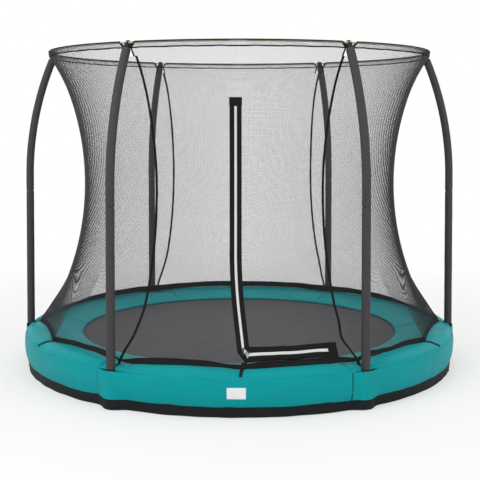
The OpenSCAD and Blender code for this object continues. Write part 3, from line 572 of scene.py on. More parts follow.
def slab(rows, normals, inner, outer, loop=False):
    """Points and faces of a cloth: a grid of its middle, the way out of it, and how far its two faces
    stand off."""
    rows, normals = np.asarray(rows, float), np.asarray(normals, float)
    n, m = rows.shape[:2]
    outer = np.broadcast_to(np.asarray(outer, float), (n, m))[..., None]
    inner = np.broadcast_to(np.asarray(inner, float), (n, m))[..., None]
    points = np.concatenate([(rows + normals * outer).reshape(-1, 3),
                             (rows + normals * inner).reshape(-1, 3)])
    back, faces = n * m, []
    for i in range(n if loop else n - 1):
        j = (i + 1) % n
        for k in range(m - 1):
            a, b, c, d = i * m + k, j * m + k, j * m + k + 1, i * m + k + 1
            faces.append((a, b, c, d))
            faces.append((a + back, d + back, c + back, b + back))
            if k == 0:
                faces.append((b, a, a + back, b + back))
            if k == m - 2:
                faces.append((d, c, c + back, d + back))
            if not loop and i == 0:
                faces.append((a, d, d + back, a + back))
            if not loop and i == n - 2:
                faces.append((c, b, b + back, c + back))
    return list(points), face_out(points, faces, normals[0, 0])


def together(parts):
    """Several sets of points and faces as one."""
    points, faces = [], []
    for some_points, some_faces in parts:
        start = len(points)
        points.extend(some_points)
        faces.extend(tuple(k + start for k in f) for f in some_faces)
    return points, faces


def soft_edges(made, width=0.0004):
    use_modifier(made, "BEVEL", width=width, segments=2, limit_method="ANGLE", angle_limit=math.radians(50))
    made.data.polygons.foreach_set("use_smooth", [True] * len(made.data.polygons))
    return made


def front_grid(x, z):
    """Points on the front of the net above places seen from the front, and the way out."""
    x, z = np.asarray(x, float), np.asarray(z, float)
    here, _, _, out = net_frame(270 + np.degrees(np.arcsin(x / net_radius(z))), z)
    return here, out


RIPPLE_WAVES = 7


def ripple(points, size, seed):
    """Smooth unevenness from -1 to 1 over points in space, with a size in metres."""
    turns = np.random.default_rng(int(seed))
    points = np.asarray(points, float)
    total = np.zeros(points.shape[:-1])
    for _ in range(RIPPLE_WAVES):
        way = turns.normal(size=3)
        way *= turns.uniform(0.6, 1.5) * math.tau / size / np.linalg.norm(way)
        total += np.sin(points @ way + turns.uniform(0, math.tau))
    return total / RIPPLE_WAVES ** 0.5 * 0.7


def turned(points, azimuth):
    """Points drawn on the +X side, turned round the middle of the trampoline."""
    points = np.asarray(points, float)
    c, s = math.cos(math.radians(azimuth)), math.sin(math.radians(azimuth))
    return points @ np.array([[c, s, 0], [-s, c, 0], [0, 0, 1]])


# ------------------------------------------------------------ hem, seam tapes and ties of the net

IN_CURVE = ((CROWN_RADIUS - PAD_INNER) ** 2 + (CROWN_Z - 0.189) ** 2) / (2 * (CROWN_Z - 0.189))
OUT_CURVE = ((POLE_RADIUS - CROWN_RADIUS) ** 2 + (CROWN_Z - CREASE_Z) ** 2) / (2 * (CROWN_Z - CREASE_Z))


def pad_height(radius):
    radius = np.asarray(radius, float)
    away = radius - CROWN_RADIUS
    inside = CROWN_Z - IN_CURVE + np.sqrt(IN_CURVE ** 2 - np.minimum(away, 0) ** 2)
    outside = CROWN_Z - OUT_CURVE + np.sqrt(OUT_CURVE ** 2 - np.clip(away, 0, OUT_CURVE) ** 2)
    return np.where(away < 0, inside, outside)


def pad_slope(radius):
    """Slope of the pad's top along a radius."""
    return (pad_height(radius + 0.0005) - pad_height(radius - 0.0005)) / 0.001


def dip_share(radius):
    """How much of the ties' pull the pad feels at a radius."""
    return step(1.06, 1.19, radius) * (1 - step(1.262, 1.292, radius))


TAPE_IN, TAPE_OUT = 0.0010, 0.0025
POLES = [k * SECTOR for k in range(6)]
LEAN_AT_HEM = {0: 0.0, 60: -0.4, 120: -0.2, 180: 0.0, 240: 0.55, 300: -0.3}
BOW_OVER_HEM = {240: 0.4, 300: -1.1}
LEAN_AT_WAIST = {0: 0.0, 60: -1.6, 120: -0.5, 180: 0.4, 240: 2.5, 300: -1.5}
LEAN_AT_TOP = {0: 0.0, 60: -0.3, 120: -0.8, 180: 0.3, 240: 2.0, 300: -1.0}

azimuths = np.arange(0, 360, 0.75)
behind = step(20, 40, azimuths) * (1 - step(140, 160, azimuths))
tall = np.interp(azimuths, HEM_AT, HEM_TALL) / 1000 + 0.015 * behind
flare = np.interp(azimuths, HEM_AT, HEM_FLARE)[:, None] / 1000
share = np.linspace(0, 1, 7)[None]
rows, level, up, outs = net_frame(np.repeat(azimuths[:, None], 7, 1), HEM_LOW + share * tall[:, None])
rows = rows + outs * 0.0007 * ripple(rows, 0.11, 3)[..., None]
rows[..., 2] += 0.0011 * ripple(rows[:, :1], 0.16, 4)
# between its ties the hem's lower half lies out over the crown of the pad
slack = flare * (1 - share) ** 1.3
turn = np.radians(azimuths)[:, None]
rows[..., 0] += slack * np.cos(turn)
rows[..., 1] += slack * np.sin(turn)
radii = np.hypot(rows[..., 0], rows[..., 1])
pad_top = pad_height(radii) - tie_dip(azimuths)[:, None] * dip_share(radii)
rows[..., 2] -= (rows[..., 2] - pad_top - 0.0040) * step(0, 0.02, flare) * (1 - share) ** 2
rows[..., 2] = np.where(flare > 0, np.maximum(rows[..., 2], pad_top + 0.0040), rows[..., 2])
across, along = np.gradient(rows, axis=1), np.gradient(rows, axis=0)
outs = np.cross(along, across)
outs /= np.linalg.norm(outs, axis=-1, keepdims=True)
points, faces = slab(rows, outs, -0.0020, TAPE_OUT, loop=True)
hem = soft_edges(piece("net_hem_band", points, faces, "black_webbing", stands_for=["net_hem"]))


def tape_azimuth(pole, z):
    """The seam tapes wander to one side of their poles between the notch and the hem."""
    share = step(1.12, 1.815, z)
    lean = LEAN_AT_WAIST[pole] * (1 - share) + LEAN_AT_TOP[pole] * share
    free = step(0.235, 0.50, z)
    bow = BOW_OVER_HEM.get(pole, 0.0) * np.exp(-((z - 0.335) / 0.055) ** 2)
    return pole + LEAN_AT_HEM[pole] * (1 - free) + lean * free + bow


parts = []
for pole in POLES:
    heights = np.linspace(HEM_LOW + 0.003, ROD_Z - NOTCH_DEPTH - NOTCH_SLOT + 0.002, 90)
    middle = tape_azimuth(pole, heights)
    here, level, up, out = net_frame(middle, heights)
    across = np.linspace(-0.0065, 0.0065, 4)
    rows = here[:, None] + level[:, None] * across[None, :, None]
    rows = rows + out[:, None] * 0.0006 * ripple(rows, 0.07, 8 + pole)[..., None]
    parts.append(slab(rows, np.repeat(out[:, None], 4, 1), -0.0016, TAPE_OUT))
soft_edges(piece("net_seam_tapes", *together(parts), "black_webbing", stands_for=["seam_tapes"]))

def tie_strap(azimuth, end, wide, narrow, slant=0.0, hem_top=HEM_HIGH):
    """A strap sewn on the hem, lying over the pad's crown to its outer edge. Slant turns its end, in
    degrees."""
    hem = net_point(azimuth, np.linspace(hem_top - 0.003, HEM_LOW + 0.004, 5))
    hem_radii, hem_heights = np.hypot(hem[:, 0], hem[:, 1]) + 0.0032, hem[:, 2]
    start = hem_radii[-1]
    radii = np.concatenate([[start + 0.0010], np.linspace(start + 0.006, end, 22)])
    heights = pad_height(radii) - tie_dip(azimuth) * dip_share(radii) + 0.0012 \
        + 0.0010 * np.sin(np.linspace(0, 9, len(radii)))
    radii = np.concatenate([hem_radii, radii])
    heights = np.concatenate([hem_heights, heights])
    slope_r, slope_z = np.gradient(radii), np.gradient(heights)
    size = np.hypot(slope_r, slope_z)
    out = np.stack([-slope_z / size, np.zeros_like(size), slope_r / size], -1)
    width = np.linspace(wide, narrow, len(radii))
    sway = 0.0012 * np.sin(np.linspace(0, 5, len(radii)) + azimuth) \
        + math.radians(slant) * np.linspace(0, 1, len(radii)) * radii
    rows = np.stack([np.stack([radii, sway + a * width, heights], -1) for a in (-0.5, -0.17, 0.17, 0.5)], 1)
    return slab(turned(rows, azimuth), np.repeat(turned(out, azimuth)[:, None], 4, 1), 0.0, 0.0014)


parts = []
for k in range(12):
    azimuth = k * 30.0
    if k % 2 == 0:
        aside, slant, hem_top = {240: (0.7, -1.7, 0.249), 300: (-0.3, 0.9, 0.254)}.get(azimuth,
                                                                                       (-0.3, 0.0, HEM_HIGH))
        parts.append(tie_strap(azimuth + aside, POLE_RADIUS - SLEEVE_RADIUS - 0.003, 0.018, 0.016, slant,
                               hem_top))
    elif azimuth == 270:
        parts.append(tie_strap(271.45, 1.2905, 0.026, 0.014, slant=-0.9, hem_top=0.262))
    else:
        parts.append(tie_strap(azimuth, 1.2905, 0.024, 0.014))
soft_edges(piece("net_tie_straps", *together(parts), "black_webbing", stands_for=["tie_straps"]), 0.0003)

# ------------------------------------------------------------ tunnel for the rods, with its bound notches

TUNNEL_HALF = 0.0076


def tunnel_section(share):
    """Distance out and height of the tunnel's cloth, from its outer seam (0) over the rod (1/2) to its
    inner seam (1)."""
    share = np.asarray(share, float)
    side = np.where(share < 0.5, 1, -1)
    along = np.where(share < 0.5, share, 1 - share) * 2
    rise = np.clip(along / 0.72, 0, 1)
    swell = 0.0014 + (TUNNEL_HALF - 0.0014) * (1 - (1 - rise) ** 1.7)
    over = np.clip((along - 0.72) / 0.28, 0, 1) * math.pi / 2
    out = np.where(along < 0.72, swell, TUNNEL_HALF * np.cos(over))
    height = np.where(along < 0.72, (rise - 1) * TUNNEL_DEPTH, TUNNEL_HALF * np.sin(over))
    return side * out, height


def tunnel_point(azimuth, share):
    azimuth, share = np.broadcast_arrays(np.asarray(azimuth, float), np.asarray(share, float))
    out, height = tunnel_section(share)
    turn = np.radians(azimuth)
    sag = 0.0008 * np.sin(np.radians(azimuth) * 37) + 0.0005 * np.sin(np.radians(azimuth) * 83)
    radius = ROD_RING + out
    return np.stack([radius * np.cos(turn), radius * np.sin(turn), ROD_Z + height + sag * (height < -0.01)],
                    -1)


def notch_limit(height):
    """How far from a pole the tunnel starts, in degrees, at a height over the rod."""
    return math.degrees(max(0.0, (height + NOTCH_DEPTH) * NOTCH_HALF / NOTCH_DEPTH) / ROD_RING)


def prisms(runs):
    """Three-sided threads with open ends along runs of points, each given with one way across it."""
    points, faces, total = [], [], 0
    for way, side in runs:
        count = len(way)
        along = np.gradient(way, axis=0)
        along /= np.linalg.norm(along, axis=1, keepdims=True)
        other = np.cross(along, side)
        other /= np.linalg.norm(other, axis=1, keepdims=True)
        for a, b in TRIANGLE:
            points.append(way + THREAD * (THREAD_DEEP * a * other + b * side))
        base = total + np.arange(count - 1)
        for s in range(3):
            t = (s + 1) % 3
            faces.append(np.stack([base + s * count, base + t * count, base + t * count + 1,
                                   base + s * count + 1], -1))
        total += 3 * count
    return np.concatenate(points), np.concatenate(faces)


for i in range(1, 7):
    runs = []
    first, last = (i - 1) * SECTOR, i * SECTOR
    for share in np.linspace(0.02, 0.98, 18):
        _, height = tunnel_section(share)
        clear = notch_limit(float(height))
        ring = np.linspace(first + clear, last - clear, 40)
        way = tunnel_point(ring, share)
        up = tunnel_point(ring, share + 0.004) - way
        runs.append((way, up / np.linalg.norm(up, axis=1, keepdims=True)))
    count = int(round(math.radians(SECTOR) * WAIST_RADIUS / MESH_PITCH))
    for azimuth in first + (np.arange(count) + 0.5) * SECTOR / count:
        shares = np.linspace(0, 1, 25)
        away = min(azimuth - first, last - azimuth)
        keep = np.array([notch_limit(float(tunnel_section(s)[1])) < away for s in shares])
        for a, b in runs_where(shares, keep):
            part = np.linspace(a, b, 13)
            way = tunnel_point(azimuth, part)
            turn = math.radians(azimuth)
            runs.append((way, np.tile([-math.sin(turn), math.cos(turn), 0], (len(part), 1))))
    tunnel = piece(f"net_tunnel_{i}", *prisms(runs), "net", stands_for=["net_tunnel"])

parts = []
for i in range(6):
    first, last = i * SECTOR, (i + 1) * SECTOR
    # stitched band where the two layers meet, and the bound fold over the rod
    clear = notch_limit(-TUNNEL_DEPTH) + 0.05
    ring = np.linspace(first + clear, last - clear, 70)
    for low, high in ((0.0, 0.085), (0.915, 1.0)):
        rows = tunnel_point(ring[:, None], np.linspace(low, high, 3)[None])
        out = np.stack([np.cos(np.radians(ring)), np.sin(np.radians(ring)), 0 * ring], -1)
        sign = 1 if low < 0.5 else -1
        parts.append(slab(rows, np.repeat(sign * out[:, None], 3, 1), -0.0002, 0.0010))
    clear = notch_limit(TUNNEL_HALF) + 0.1
    ring = np.linspace(first + clear, last - clear, 70)
    rows = tunnel_point(ring[:, None], np.linspace(0.385, 0.615, 9)[None])
    turn = np.radians(ring)
    middle = np.stack([ROD_RING * np.cos(turn), ROD_RING * np.sin(turn), 0 * turn + ROD_Z], -1)
    out = rows - middle[:, None]
    out /= np.linalg.norm(out, axis=-1, keepdims=True)
    parts.append(slab(rows, out, 0.0000, 0.0012))
    # bindings of the slanted edges
    for near, sign in ((first, 1), (last, -1)):
        for shares in (np.linspace(0.0, 0.44, 14), np.linspace(1.0, 0.56, 14)):
            heights = tunnel_section(shares)[1]
            away = np.array([notch_limit(float(h)) for h in heights])
            rows = np.stack([tunnel_point(near + sign * (away + a), shares) for a in (-0.12, 0.12, 0.34)], 1)
            out_way = 1 if shares[0] < 0.5 else -1
            out = np.stack([np.cos(np.radians(near + sign * away)), np.sin(np.radians(near + sign * away)),
                            0 * away], -1) * out_way
            parts.append(slab(rows, np.repeat(out[:, None], 3, 1), -0.0004, 0.0012))
        # and of the net's own edge below the seam
        heights = np.linspace(ROD_Z - NOTCH_DEPTH - NOTCH_SLOT - 0.001, SEAM_Z + 0.001, 6)
        away = np.full(6, math.degrees(SLOT_HALF / ROD_RING))
        rows = np.stack([net_point(near + sign * (away + a), heights) for a in (-0.12, 0.12, 0.34)], 1)
        out = np.stack([np.cos(np.radians(near + sign * away)), np.sin(np.radians(near + sign * away)),
                        0 * away], -1)
        parts.append(slab(rows, np.repeat(out[:, None], 3, 1), -0.0015, 0.0018))
piece("tunnel_bindings", *together(parts), "black_webbing", stands_for=["net_tunnel"])

# ------------------------------------------------------------ the zip

TEETH_HALF = 0.0065
ZIP_HALF = 0.0315
CUT = 0.020
END_PATCH = 0.046


def zip_line(offset, along_z, along_x):
    """Places seen from the front, at an offset to the right of and above the zip's middle."""
    past = CUT + 0.4142 * offset
    upright = ZIP_FOOT_Z + past + (ZIP_TOP_Z - ZIP_FOOT_Z - past) * np.asarray(along_z)
    corner = float(zip_x(ZIP_FOOT_Z))
    level = corner + past + (ZIP_END_X - corner - past) * np.asarray(along_x)
    x = np.concatenate([(zip_x(upright) + offset)[::-1], level])
    z = np.concatenate([upright[::-1], foot_z(level) + offset])
    return x, z


def zip_band(low, high, columns, inner, outer, sway=0.0):
    """A band along both legs of the zip, between two offsets."""
    lines = [zip_line(o, np.linspace(0, 1, 70), np.linspace(0, 1, 30)) for o in np.linspace(low, high,
                                                                                            columns)]
    x = np.stack([line[0] for line in lines], 1)
    z = np.stack([line[1] for line in lines], 1)
    rows, out = front_grid(x, z)
    if sway:
        rows = rows + out * sway * (0.6 + ripple(rows, 0.09, 21))[..., None]
    return slab(rows, out, inner, outer)


def cut_door(made, name, slot, stands_for):
    """Parts a piece that lies over the zip: what is on the door becomes a piece of the door."""
    across = Vector((fold_end.z - fold_top.z, 0, fold_top.x - fold_end.x)).normalized()
    cuts = ((Vector((0, 0, corner_z)), Vector((0, 0, 1)), lambda c: c.x < corner_x + 0.02 and c.z < 0.6),
            (Vector((corner_x, 0, 0)), Vector((1, 0, 0)), lambda c: c.z < corner_z + 0.02),
            (fold_top, across, lambda c: True))
    copies = []
    for on_door in (False, True):
        shape = bmesh.new()
        shape.from_mesh(made.data)
        for place, way, near in cuts:
            chosen = [f for f in shape.faces if near(f.calc_center_median())]
            geometry = list({v for f in chosen for v in f.verts} | {e for f in chosen for e in f.edges}
                            | set(chosen))
            bmesh.ops.bisect_plane(shape, geom=geometry, plane_co=place, plane_no=way, dist=1e-6)
        centres = np.array([f.calc_center_median() for f in shape.faces])
        inside = in_door(centres, 0.0004)
        bmesh.ops.delete(shape, geom=[f for f, i in zip(shape.faces, inside) if bool(i) != on_door],
                         context="FACES")
        bmesh.ops.remove_doubles(shape, verts=shape.verts, dist=1e-6)
        bmesh.ops.holes_fill(shape, edges=[e for e in shape.edges if e.is_boundary], sides=0)
        mesh = bpy.data.meshes.new(name)
        shape.to_mesh(mesh)
        shape.free()
        copies.append(mesh)
    made.data, door_mesh = copies
    for mesh in copies:
        mesh.materials.clear()
        mesh.materials.append(SLOTS[slot])
        mesh.polygons.foreach_set("use_smooth", [True] * len(mesh.polygons))
    part = bpy.data.objects.new(name, door_mesh)
    bpy.context.scene.collection.objects.link(part)
    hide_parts(*stands_for)
    fold_door(part)
    return part


webbing = piece("zip_webbing_pair", *together([
    zip_band(-ZIP_HALF, -TEETH_HALF - 0.0003, 5, TAPE_IN - 0.0004, TAPE_OUT, sway=0.0004),
    zip_band(TEETH_HALF + 0.0003, ZIP_HALF, 5, TAPE_IN - 0.0004, TAPE_OUT, sway=0.0004)]),
    "black_webbing", stands_for=["zip_webbing"])
cut_door(webbing, "door_zip_webbing", "black_webbing", ["door_webbing"])

tape = piece("zip_tape_pair", *together([
    zip_band(-TEETH_HALF, -0.0003, 3, TAPE_IN, 0.0020), zip_band(0.0003, TEETH_HALF, 3, TAPE_IN, 0.0020)]),
    "zip_nylon", stands_for=["zip_teeth"])
cut_door(tape, "door_zip_tape", "zip_nylon", ["door_teeth"])


def modelled_tooth():
    """One zip tooth, made at the middle: X across the zip, Y along it, Z out of the net."""
    bpy.ops.object.select_all(action="DESELECT")
    bpy.ops.mesh.primitive_cube_add(size=1, location=(0.0027, 0, 0.0007), scale=(0.0054, 0.0015, 0.0014))
    tooth = bpy.context.active_object
    bpy.ops.object.mode_set(mode="EDIT")
    bpy.ops.mesh.select_mode(type="FACE")
    bpy.ops.mesh.select_all(action="DESELECT")
    shape = bmesh.from_edit_mesh(tooth.data)
    for f in shape.faces:
        f.select_set(f.normal.z > 0.9)
    bmesh.update_edit_mesh(tooth.data)
    bpy.ops.transform.resize(value=(0.82, 0.6, 1))
    bpy.ops.object.mode_set(mode="OBJECT")
    bpy.ops.object.transform_apply(location=True, rotation=True, scale=True)
    points = [tuple(v.co) for v in tooth.data.vertices]
    faces = [tuple(f.vertices) for f in tooth.data.polygons]
    bpy.data.objects.remove(tooth)
    return np.array(points), faces


def placed(shape_points, shape_faces, places, across, along, out):
    """Copies of a small shape at places, each with its own three ways."""
    frames = np.stack([across, along, out], 1)
    points = places[:, None] + np.einsum("kv,nvx->nkx", shape_points, frames)
    count = len(shape_points)
    faces = [tuple(k * count + v for v in f) for k in range(len(places)) for f in shape_faces]
    return points.reshape(-1, 3), faces


tooth_points, tooth_faces = modelled_tooth()
line_x, line_z = zip_line(0.0, np.linspace(0, 1, 900), np.linspace(0, 1, 400))
keep = (line_z < ZIP_TOP_Z - 0.010) & (line_x < ZIP_END_X - 0.010)
line_x, line_z = line_x[keep], line_z[keep]
middle, outs = front_grid(line_x, line_z)
run = np.concatenate([[0], np.cumsum(np.linalg.norm(np.diff(middle, axis=0), axis=1))])
for side, name in ((-1, "zip_teeth_fixed"), (1, "zip_teeth_free")):
    where = np.arange(0.0015 + (0.0016 if side > 0 else 0), run[-1], 0.0032)
    place = np.stack([np.interp(where, run, middle[:, k]) for k in range(3)], -1)
    out = np.stack([np.interp(where, run, outs[:, k]) for k in range(3)], -1)
    out /= np.linalg.norm(out, axis=1, keepdims=True)
    along = np.stack([np.interp(where + 0.001, run, middle[:, k]) for k in range(3)], -1) - place
    along /= np.linalg.norm(along, axis=1, keepdims=True)
    across = np.cross(along, out) * -side
    across *= np.sign(np.sum(across * np.cross(out, along), 1))[:, None] * side
    place = place + out * 0.0019 - across * 0.0006
    if side < 0:
        points, faces = placed(tooth_points, tooth_faces, place, across, along, out)
        faces = face_out(points, faces, points[faces[0][0]] - place[0] - out[0] * 0.0007)
        piece(name, points, faces, "zip_nylon", stands_for=["zip_teeth"], smooth=False)
    else:
        on_door = in_door(place + across * 0.003, 0.0)
        for chosen, label in ((~on_door, name), (on_door, "door_zip_teeth")):
            points, faces = placed(tooth_points, tooth_faces, place[chosen], across[chosen], along[chosen],
                                   out[chosen])
            faces = face_out(points, faces, points[faces[0][0]] - place[chosen][0] - out[chosen][0] * 0.0007)
            if label == name:
                piece(label, points, faces, "zip_nylon", stands_for=["zip_teeth"], smooth=False)
            else:
                part = piece(label, points, faces, "zip_nylon", body=None, stands_for=["door_teeth"],
                             smooth=False)
                fold_door(part)

parts = []
x, z = np.meshgrid(np.linspace(-0.033, 0.033, 8), np.linspace(0, END_PATCH, 6), indexing="ij")
rows, out = front_grid(x + zip_x(ZIP_TOP_Z - 0.008 + z), z + ZIP_TOP_Z - 0.008)
parts.append(slab(rows, out, TAPE_OUT + 0.0001, TAPE_OUT + 0.0014))
x, z = np.meshgrid(np.linspace(0, END_PATCH, 6), np.linspace(-0.033, 0.033, 8), indexing="ij")
rows, out = front_grid(x + ZIP_END_X - 0.008 - z * 0.16, z + foot_z(x + ZIP_END_X))
parts.append(slab(rows, out, TAPE_OUT + 0.0001, TAPE_OUT + 0.0014))
soft_edges(piece("zip_end_patches", *together(parts), "black_webbing", stands_for=["zip_webbing"]))

# ------------------------------------------------------------ edge pad in six sectors

PAD_UNDER = 0.1938
PAD_UNDER_FROM = 1.205
DROP_TOP, DROP_BOTTOM = 0.1995, 0.056
BULGE_RADIUS, BULGE_Z = 0.260, 0.150
DROP_CENTRE = POLE_RADIUS + 0.0003 - math.sqrt(0.2585 ** 2 - (CREASE_Z - BULGE_Z) ** 2)
POCKET = 0.0262


def pad_profile():
    """Section of a pad from the lower inner edge over the crown to the crease and back below: radius,
    height, puff."""
    edge = [(PAD_INNER + 0.0035, 0.1768), (PAD_INNER + 0.0006, 0.1788), (PAD_INNER - 0.0004, 0.1828),
            (PAD_INNER + 0.0008, 0.1866)]
    top_radii = np.concatenate([[PAD_INNER + 0.0045, PAD_INNER + 0.010],
                                np.linspace(PAD_INNER + 0.020, 1.215, 26),
                                np.linspace(1.220, 1.282, 16), [1.2875, 1.2915, 1.2938]])
    rise = 0.0012 * step(PAD_INNER, PAD_INNER + 0.012, top_radii)
    top = list(zip(top_radii, pad_height(top_radii) - 0.0012 + rise))
    under = [(1.2945, 0.1992), (1.2938, 0.1958), (1.2905, 0.1943), (1.25, PAD_UNDER + 0.0003),
             (PAD_UNDER_FROM, PAD_UNDER + 0.0002)]
    slope = [(r, 0.1768 + (PAD_UNDER - 0.1768) * (r - PAD_INNER) / (PAD_UNDER_FROM - PAD_INNER))
             for r in np.linspace(1.16, PAD_INNER + 0.02, 6)]
    section = edge + top + under + slope
    puff = [0.15] * len(edge) + [1.0] * len(top) + [0.0] * (len(under) + len(slope))
    return np.array(section), np.array(puff)


pad_section, pad_puff = pad_profile()
PUCKERS = {k * 30.0: 1.0 for k in range(12)}


def pad_relief(azimuth, radius, seed):
    """How far the pad's skin stands off its plain shape: slow swells, gathers at the ties and creases at
    the rim."""
    turn = np.radians(azimuth)
    spot = np.stack([radius * np.cos(turn), radius * np.sin(turn), 0 * radius], -1)
    lift = 0.0016 * ripple(spot, 0.26, 40 + seed) + 0.0007 * ripple(spot, 0.085, 60 + seed)
    rim = step(1.10, 1.225, radius)
    fold = np.sin(azimuth * 2.9 + 2.1 * np.sin(azimuth * 0.31 + seed) + 4 * (radius - 1.2))
    lift = lift + 0.0011 * rim * fold * np.abs(np.sin(azimuth * 0.23 + seed)) ** 2
    for at in PUCKERS:
        away = np.radians((azimuth - at + 180) % 360 - 180) * radius
        gather = np.exp(-(away / 0.055) ** 2)
        lift = lift + 0.0013 * gather * np.sin(away * 300 + (radius - 1.2) * away * 900) * rim
        lift = lift - 0.0020 * np.exp(-(away / 0.013) ** 2) * step(1.165, 1.20, radius)
    inner = np.exp(-((radius - PAD_INNER - 0.012) / 0.005) ** 2)
    return lift - 0.0011 * inner - tie_dip(azimuth) * dip_share(radius)


for i in range(1, 7):
    first = (i - 1) * SECTOR - PAD_SEAM
    pole = (i - 1) * SECTOR
    near_pole = pole + np.concatenate([-np.linspace(1.7, 0.0, 18)[:-1], np.linspace(0.0, 1.7, 18)])
    azimuths = np.concatenate([np.linspace(first + 0.02, first + 0.25, 4),
                               np.linspace(first + 0.6, pole - 1.9, 6),
                               near_pole, np.linspace(pole + 1.9, first + SECTOR - 0.4, 110),
                               np.linspace(first + SECTOR - 0.2, first + SECTOR - 0.03, 4)])
    radius = np.broadcast_to(pad_section[:, 0], (len(azimuths), len(pad_section))).copy()
    height = np.broadcast_to(pad_section[:, 1], radius.shape).copy()
    grid_a = np.broadcast_to(azimuths[:, None], radius.shape)
    # the rim is cut round the sleeves
    away = np.radians(azimuths - pole) * POLE_RADIUS
    hole = np.where(np.abs(away) < 0.0240, np.sqrt(np.maximum(0.0240 ** 2 - away ** 2, 0)), 0)
    limit = POLE_RADIUS - hole
    over = np.maximum(radius - limit[:, None], 0)
    radius = radius - over
    top_part = pad_puff[None] > 0.5
    height = np.where(top_part & (over > 0), pad_height(radius), height)
    ends = np.minimum(azimuths - first, first + SECTOR - azimuths)
    close = 1 - 0.30 * np.exp(-(ends / 0.35) ** 2)
    lift = pad_relief(grid_a, radius, i) * pad_puff[None]
    thick = height - (0.1768 + (PAD_UNDER - 0.1768) * np.clip((radius - PAD_INNER) / 0.247, 0, 1))
    height = np.where(pad_puff[None] > 0, height + lift - thick * (1 - close[:, None]) * pad_puff[None],
                      height)
    turn = np.radians(grid_a)
    rings = np.stack([radius * np.cos(turn), radius * np.sin(turn), height], -1)
    points, faces = sweep([list(rings)], rings.shape[1])
    pad = piece(f"edge_pad_{i}", points, faces, "teal_cover", stands_for=[f"pad_{i}"])
    shape = bmesh.new()
    shape.from_mesh(pad.data)
    bmesh.ops.recalc_face_normals(shape, faces=shape.faces)
    shape.to_mesh(pad.data)
    shape.free()
    pad.data.polygons.foreach_set("use_smooth", [True] * len(pad.data.polygons))

# ------------------------------------------------------------ hanging front of the pad, with pockets and
# seams


def drop_radius(z):
    return DROP_CENTRE + np.sqrt(BULGE_RADIUS ** 2 - (np.asarray(z) - BULGE_Z) ** 2)


def pocket_out(azimuth, wall, half):
    """How far a pocket of a given half width stands out of a wall at a pole."""
    away = np.radians((azimuth + 30) % 60 - 30) * POLE_RADIUS
    return np.maximum(POLE_RADIUS + half - wall, 0) * np.exp(-(np.abs(away) / 0.060) ** 2.4)


def drop_relief(azimuth, z, seed):
    """Swells and folds of the drop's cloth, strongest near its lower edge and beside the pockets."""
    turn = np.radians(azimuth)
    spot = np.stack([1.3 * np.cos(turn), 1.3 * np.sin(turn), z * 0.7], -1)
    low = 1 - step(DROP_BOTTOM, 0.17, z)
    lift = 0.0020 * ripple(spot, 0.30, 70 + seed) + (0.0006 + 0.0012 * low) * ripple(spot, 0.10, 80 + seed)
    from_pole = np.abs((azimuth + 30) % 60 - 30)
    beside = np.exp(-((from_pole - 2.6) / 1.1) ** 2)
    lift = lift + 0.0014 * beside * np.sin(azimuth * 7.3 + seed) * np.sin((z - 0.05) * 24)
    for at, size in ((267.05, 0.0030), (251.2, 0.0016), (284.0, 0.0014), (246.5, 0.0018), (292.0, -0.0016)):
        away = np.radians(azimuth - at) * POLE_RADIUS
        lift = lift + size * np.exp(-(away / 0.007) ** 2) * step(0.05, 0.09, z) * (1 - step(0.16, 0.20, z))
    return lift * (1 - step(0.182, 0.1995, z)) + 0.0006 * ripple(spot, 0.12, 90 + seed)


def lower_edge(azimuth):
    """The lower edge of the drop rides up and down a little, and steps at the seams."""
    turn = np.radians(azimuth)
    spot = np.stack([1.3 * np.cos(turn), 1.3 * np.sin(turn), 0 * azimuth], -1)
    from_pole = (azimuth + 30) % 60 - 30
    return 0.0016 * ripple(spot, 0.35, 95) + 0.0030 * np.exp(-((from_pole + 2.4) / 1.0) ** 2)


def around(first, last):
    """Azimuths of a panel, close together round its pocket."""
    pole = first + PAD_SEAM
    return np.concatenate([np.linspace(first, pole - 2.4, 10)[:-1], np.linspace(pole - 2.4, pole + 2.4, 65),
                           np.linspace(pole + 2.4, last, 150)[1:]])


for i in range(1, 7):
    first = (i - 1) * SECTOR - PAD_SEAM
    azimuths = around(first + (0.10 if i == 6 else 0.03), first + SECTOR - (0.10 if i == 5 else 0.03))
    levels = np.concatenate([[0, 0.02], np.linspace(0.06, 0.94, 16), [0.98, 1.0]])
    grid_a, share = np.meshgrid(azimuths, levels, indexing="ij")
    bottom = DROP_BOTTOM + lower_edge(grid_a)
    z = bottom + (DROP_TOP - bottom) * share
    wall = drop_radius(z) - 0.0008
    radius = wall + pocket_out(grid_a, wall, POCKET) + drop_relief(grid_a, z, i)
    ends = np.minimum(grid_a - first, first + SECTOR - grid_a)
    radius = radius - 0.0022 * np.exp(-(ends / 0.22) ** 2)
    radius = radius + 0.0010 * np.exp(-((share - 0.04) / 0.02) ** 2)
    turn = np.radians(grid_a)
    rows = np.stack([radius * np.cos(turn), radius * np.sin(turn), z], -1)
    out = np.stack([np.cos(turn), np.sin(turn), 0 * z], -1)
    points, faces = slab(rows, out, -0.0007, 0.0007)
    drop = soft_edges(piece(f"drop_cloth_{i}", points, faces, "teal_cover", stands_for=["pad_drop"]), 0.0003)

# a black strip behind each seam of the drop, painted shade: it makes the gap between the panels read as
# shadow
parts = []
for pole in POLES:
    grid_a, z = np.meshgrid(pole - PAD_SEAM + np.linspace(-0.25, 0.25, 5), np.linspace(0.062, 0.192, 14),
                            indexing="ij")
    turn = np.radians(grid_a)
    wall = drop_radius(z) - 0.0060
    rows = np.stack([wall * np.cos(turn), wall * np.sin(turn), z], -1)
    parts.append(slab(rows, np.stack([np.cos(turn), np.sin(turn), 0 * z], -1), -0.0005, 0.0005))
piece("drop_seam_shade_strips", *together(parts), "black_fabric", stands_for=["pad_drop"])

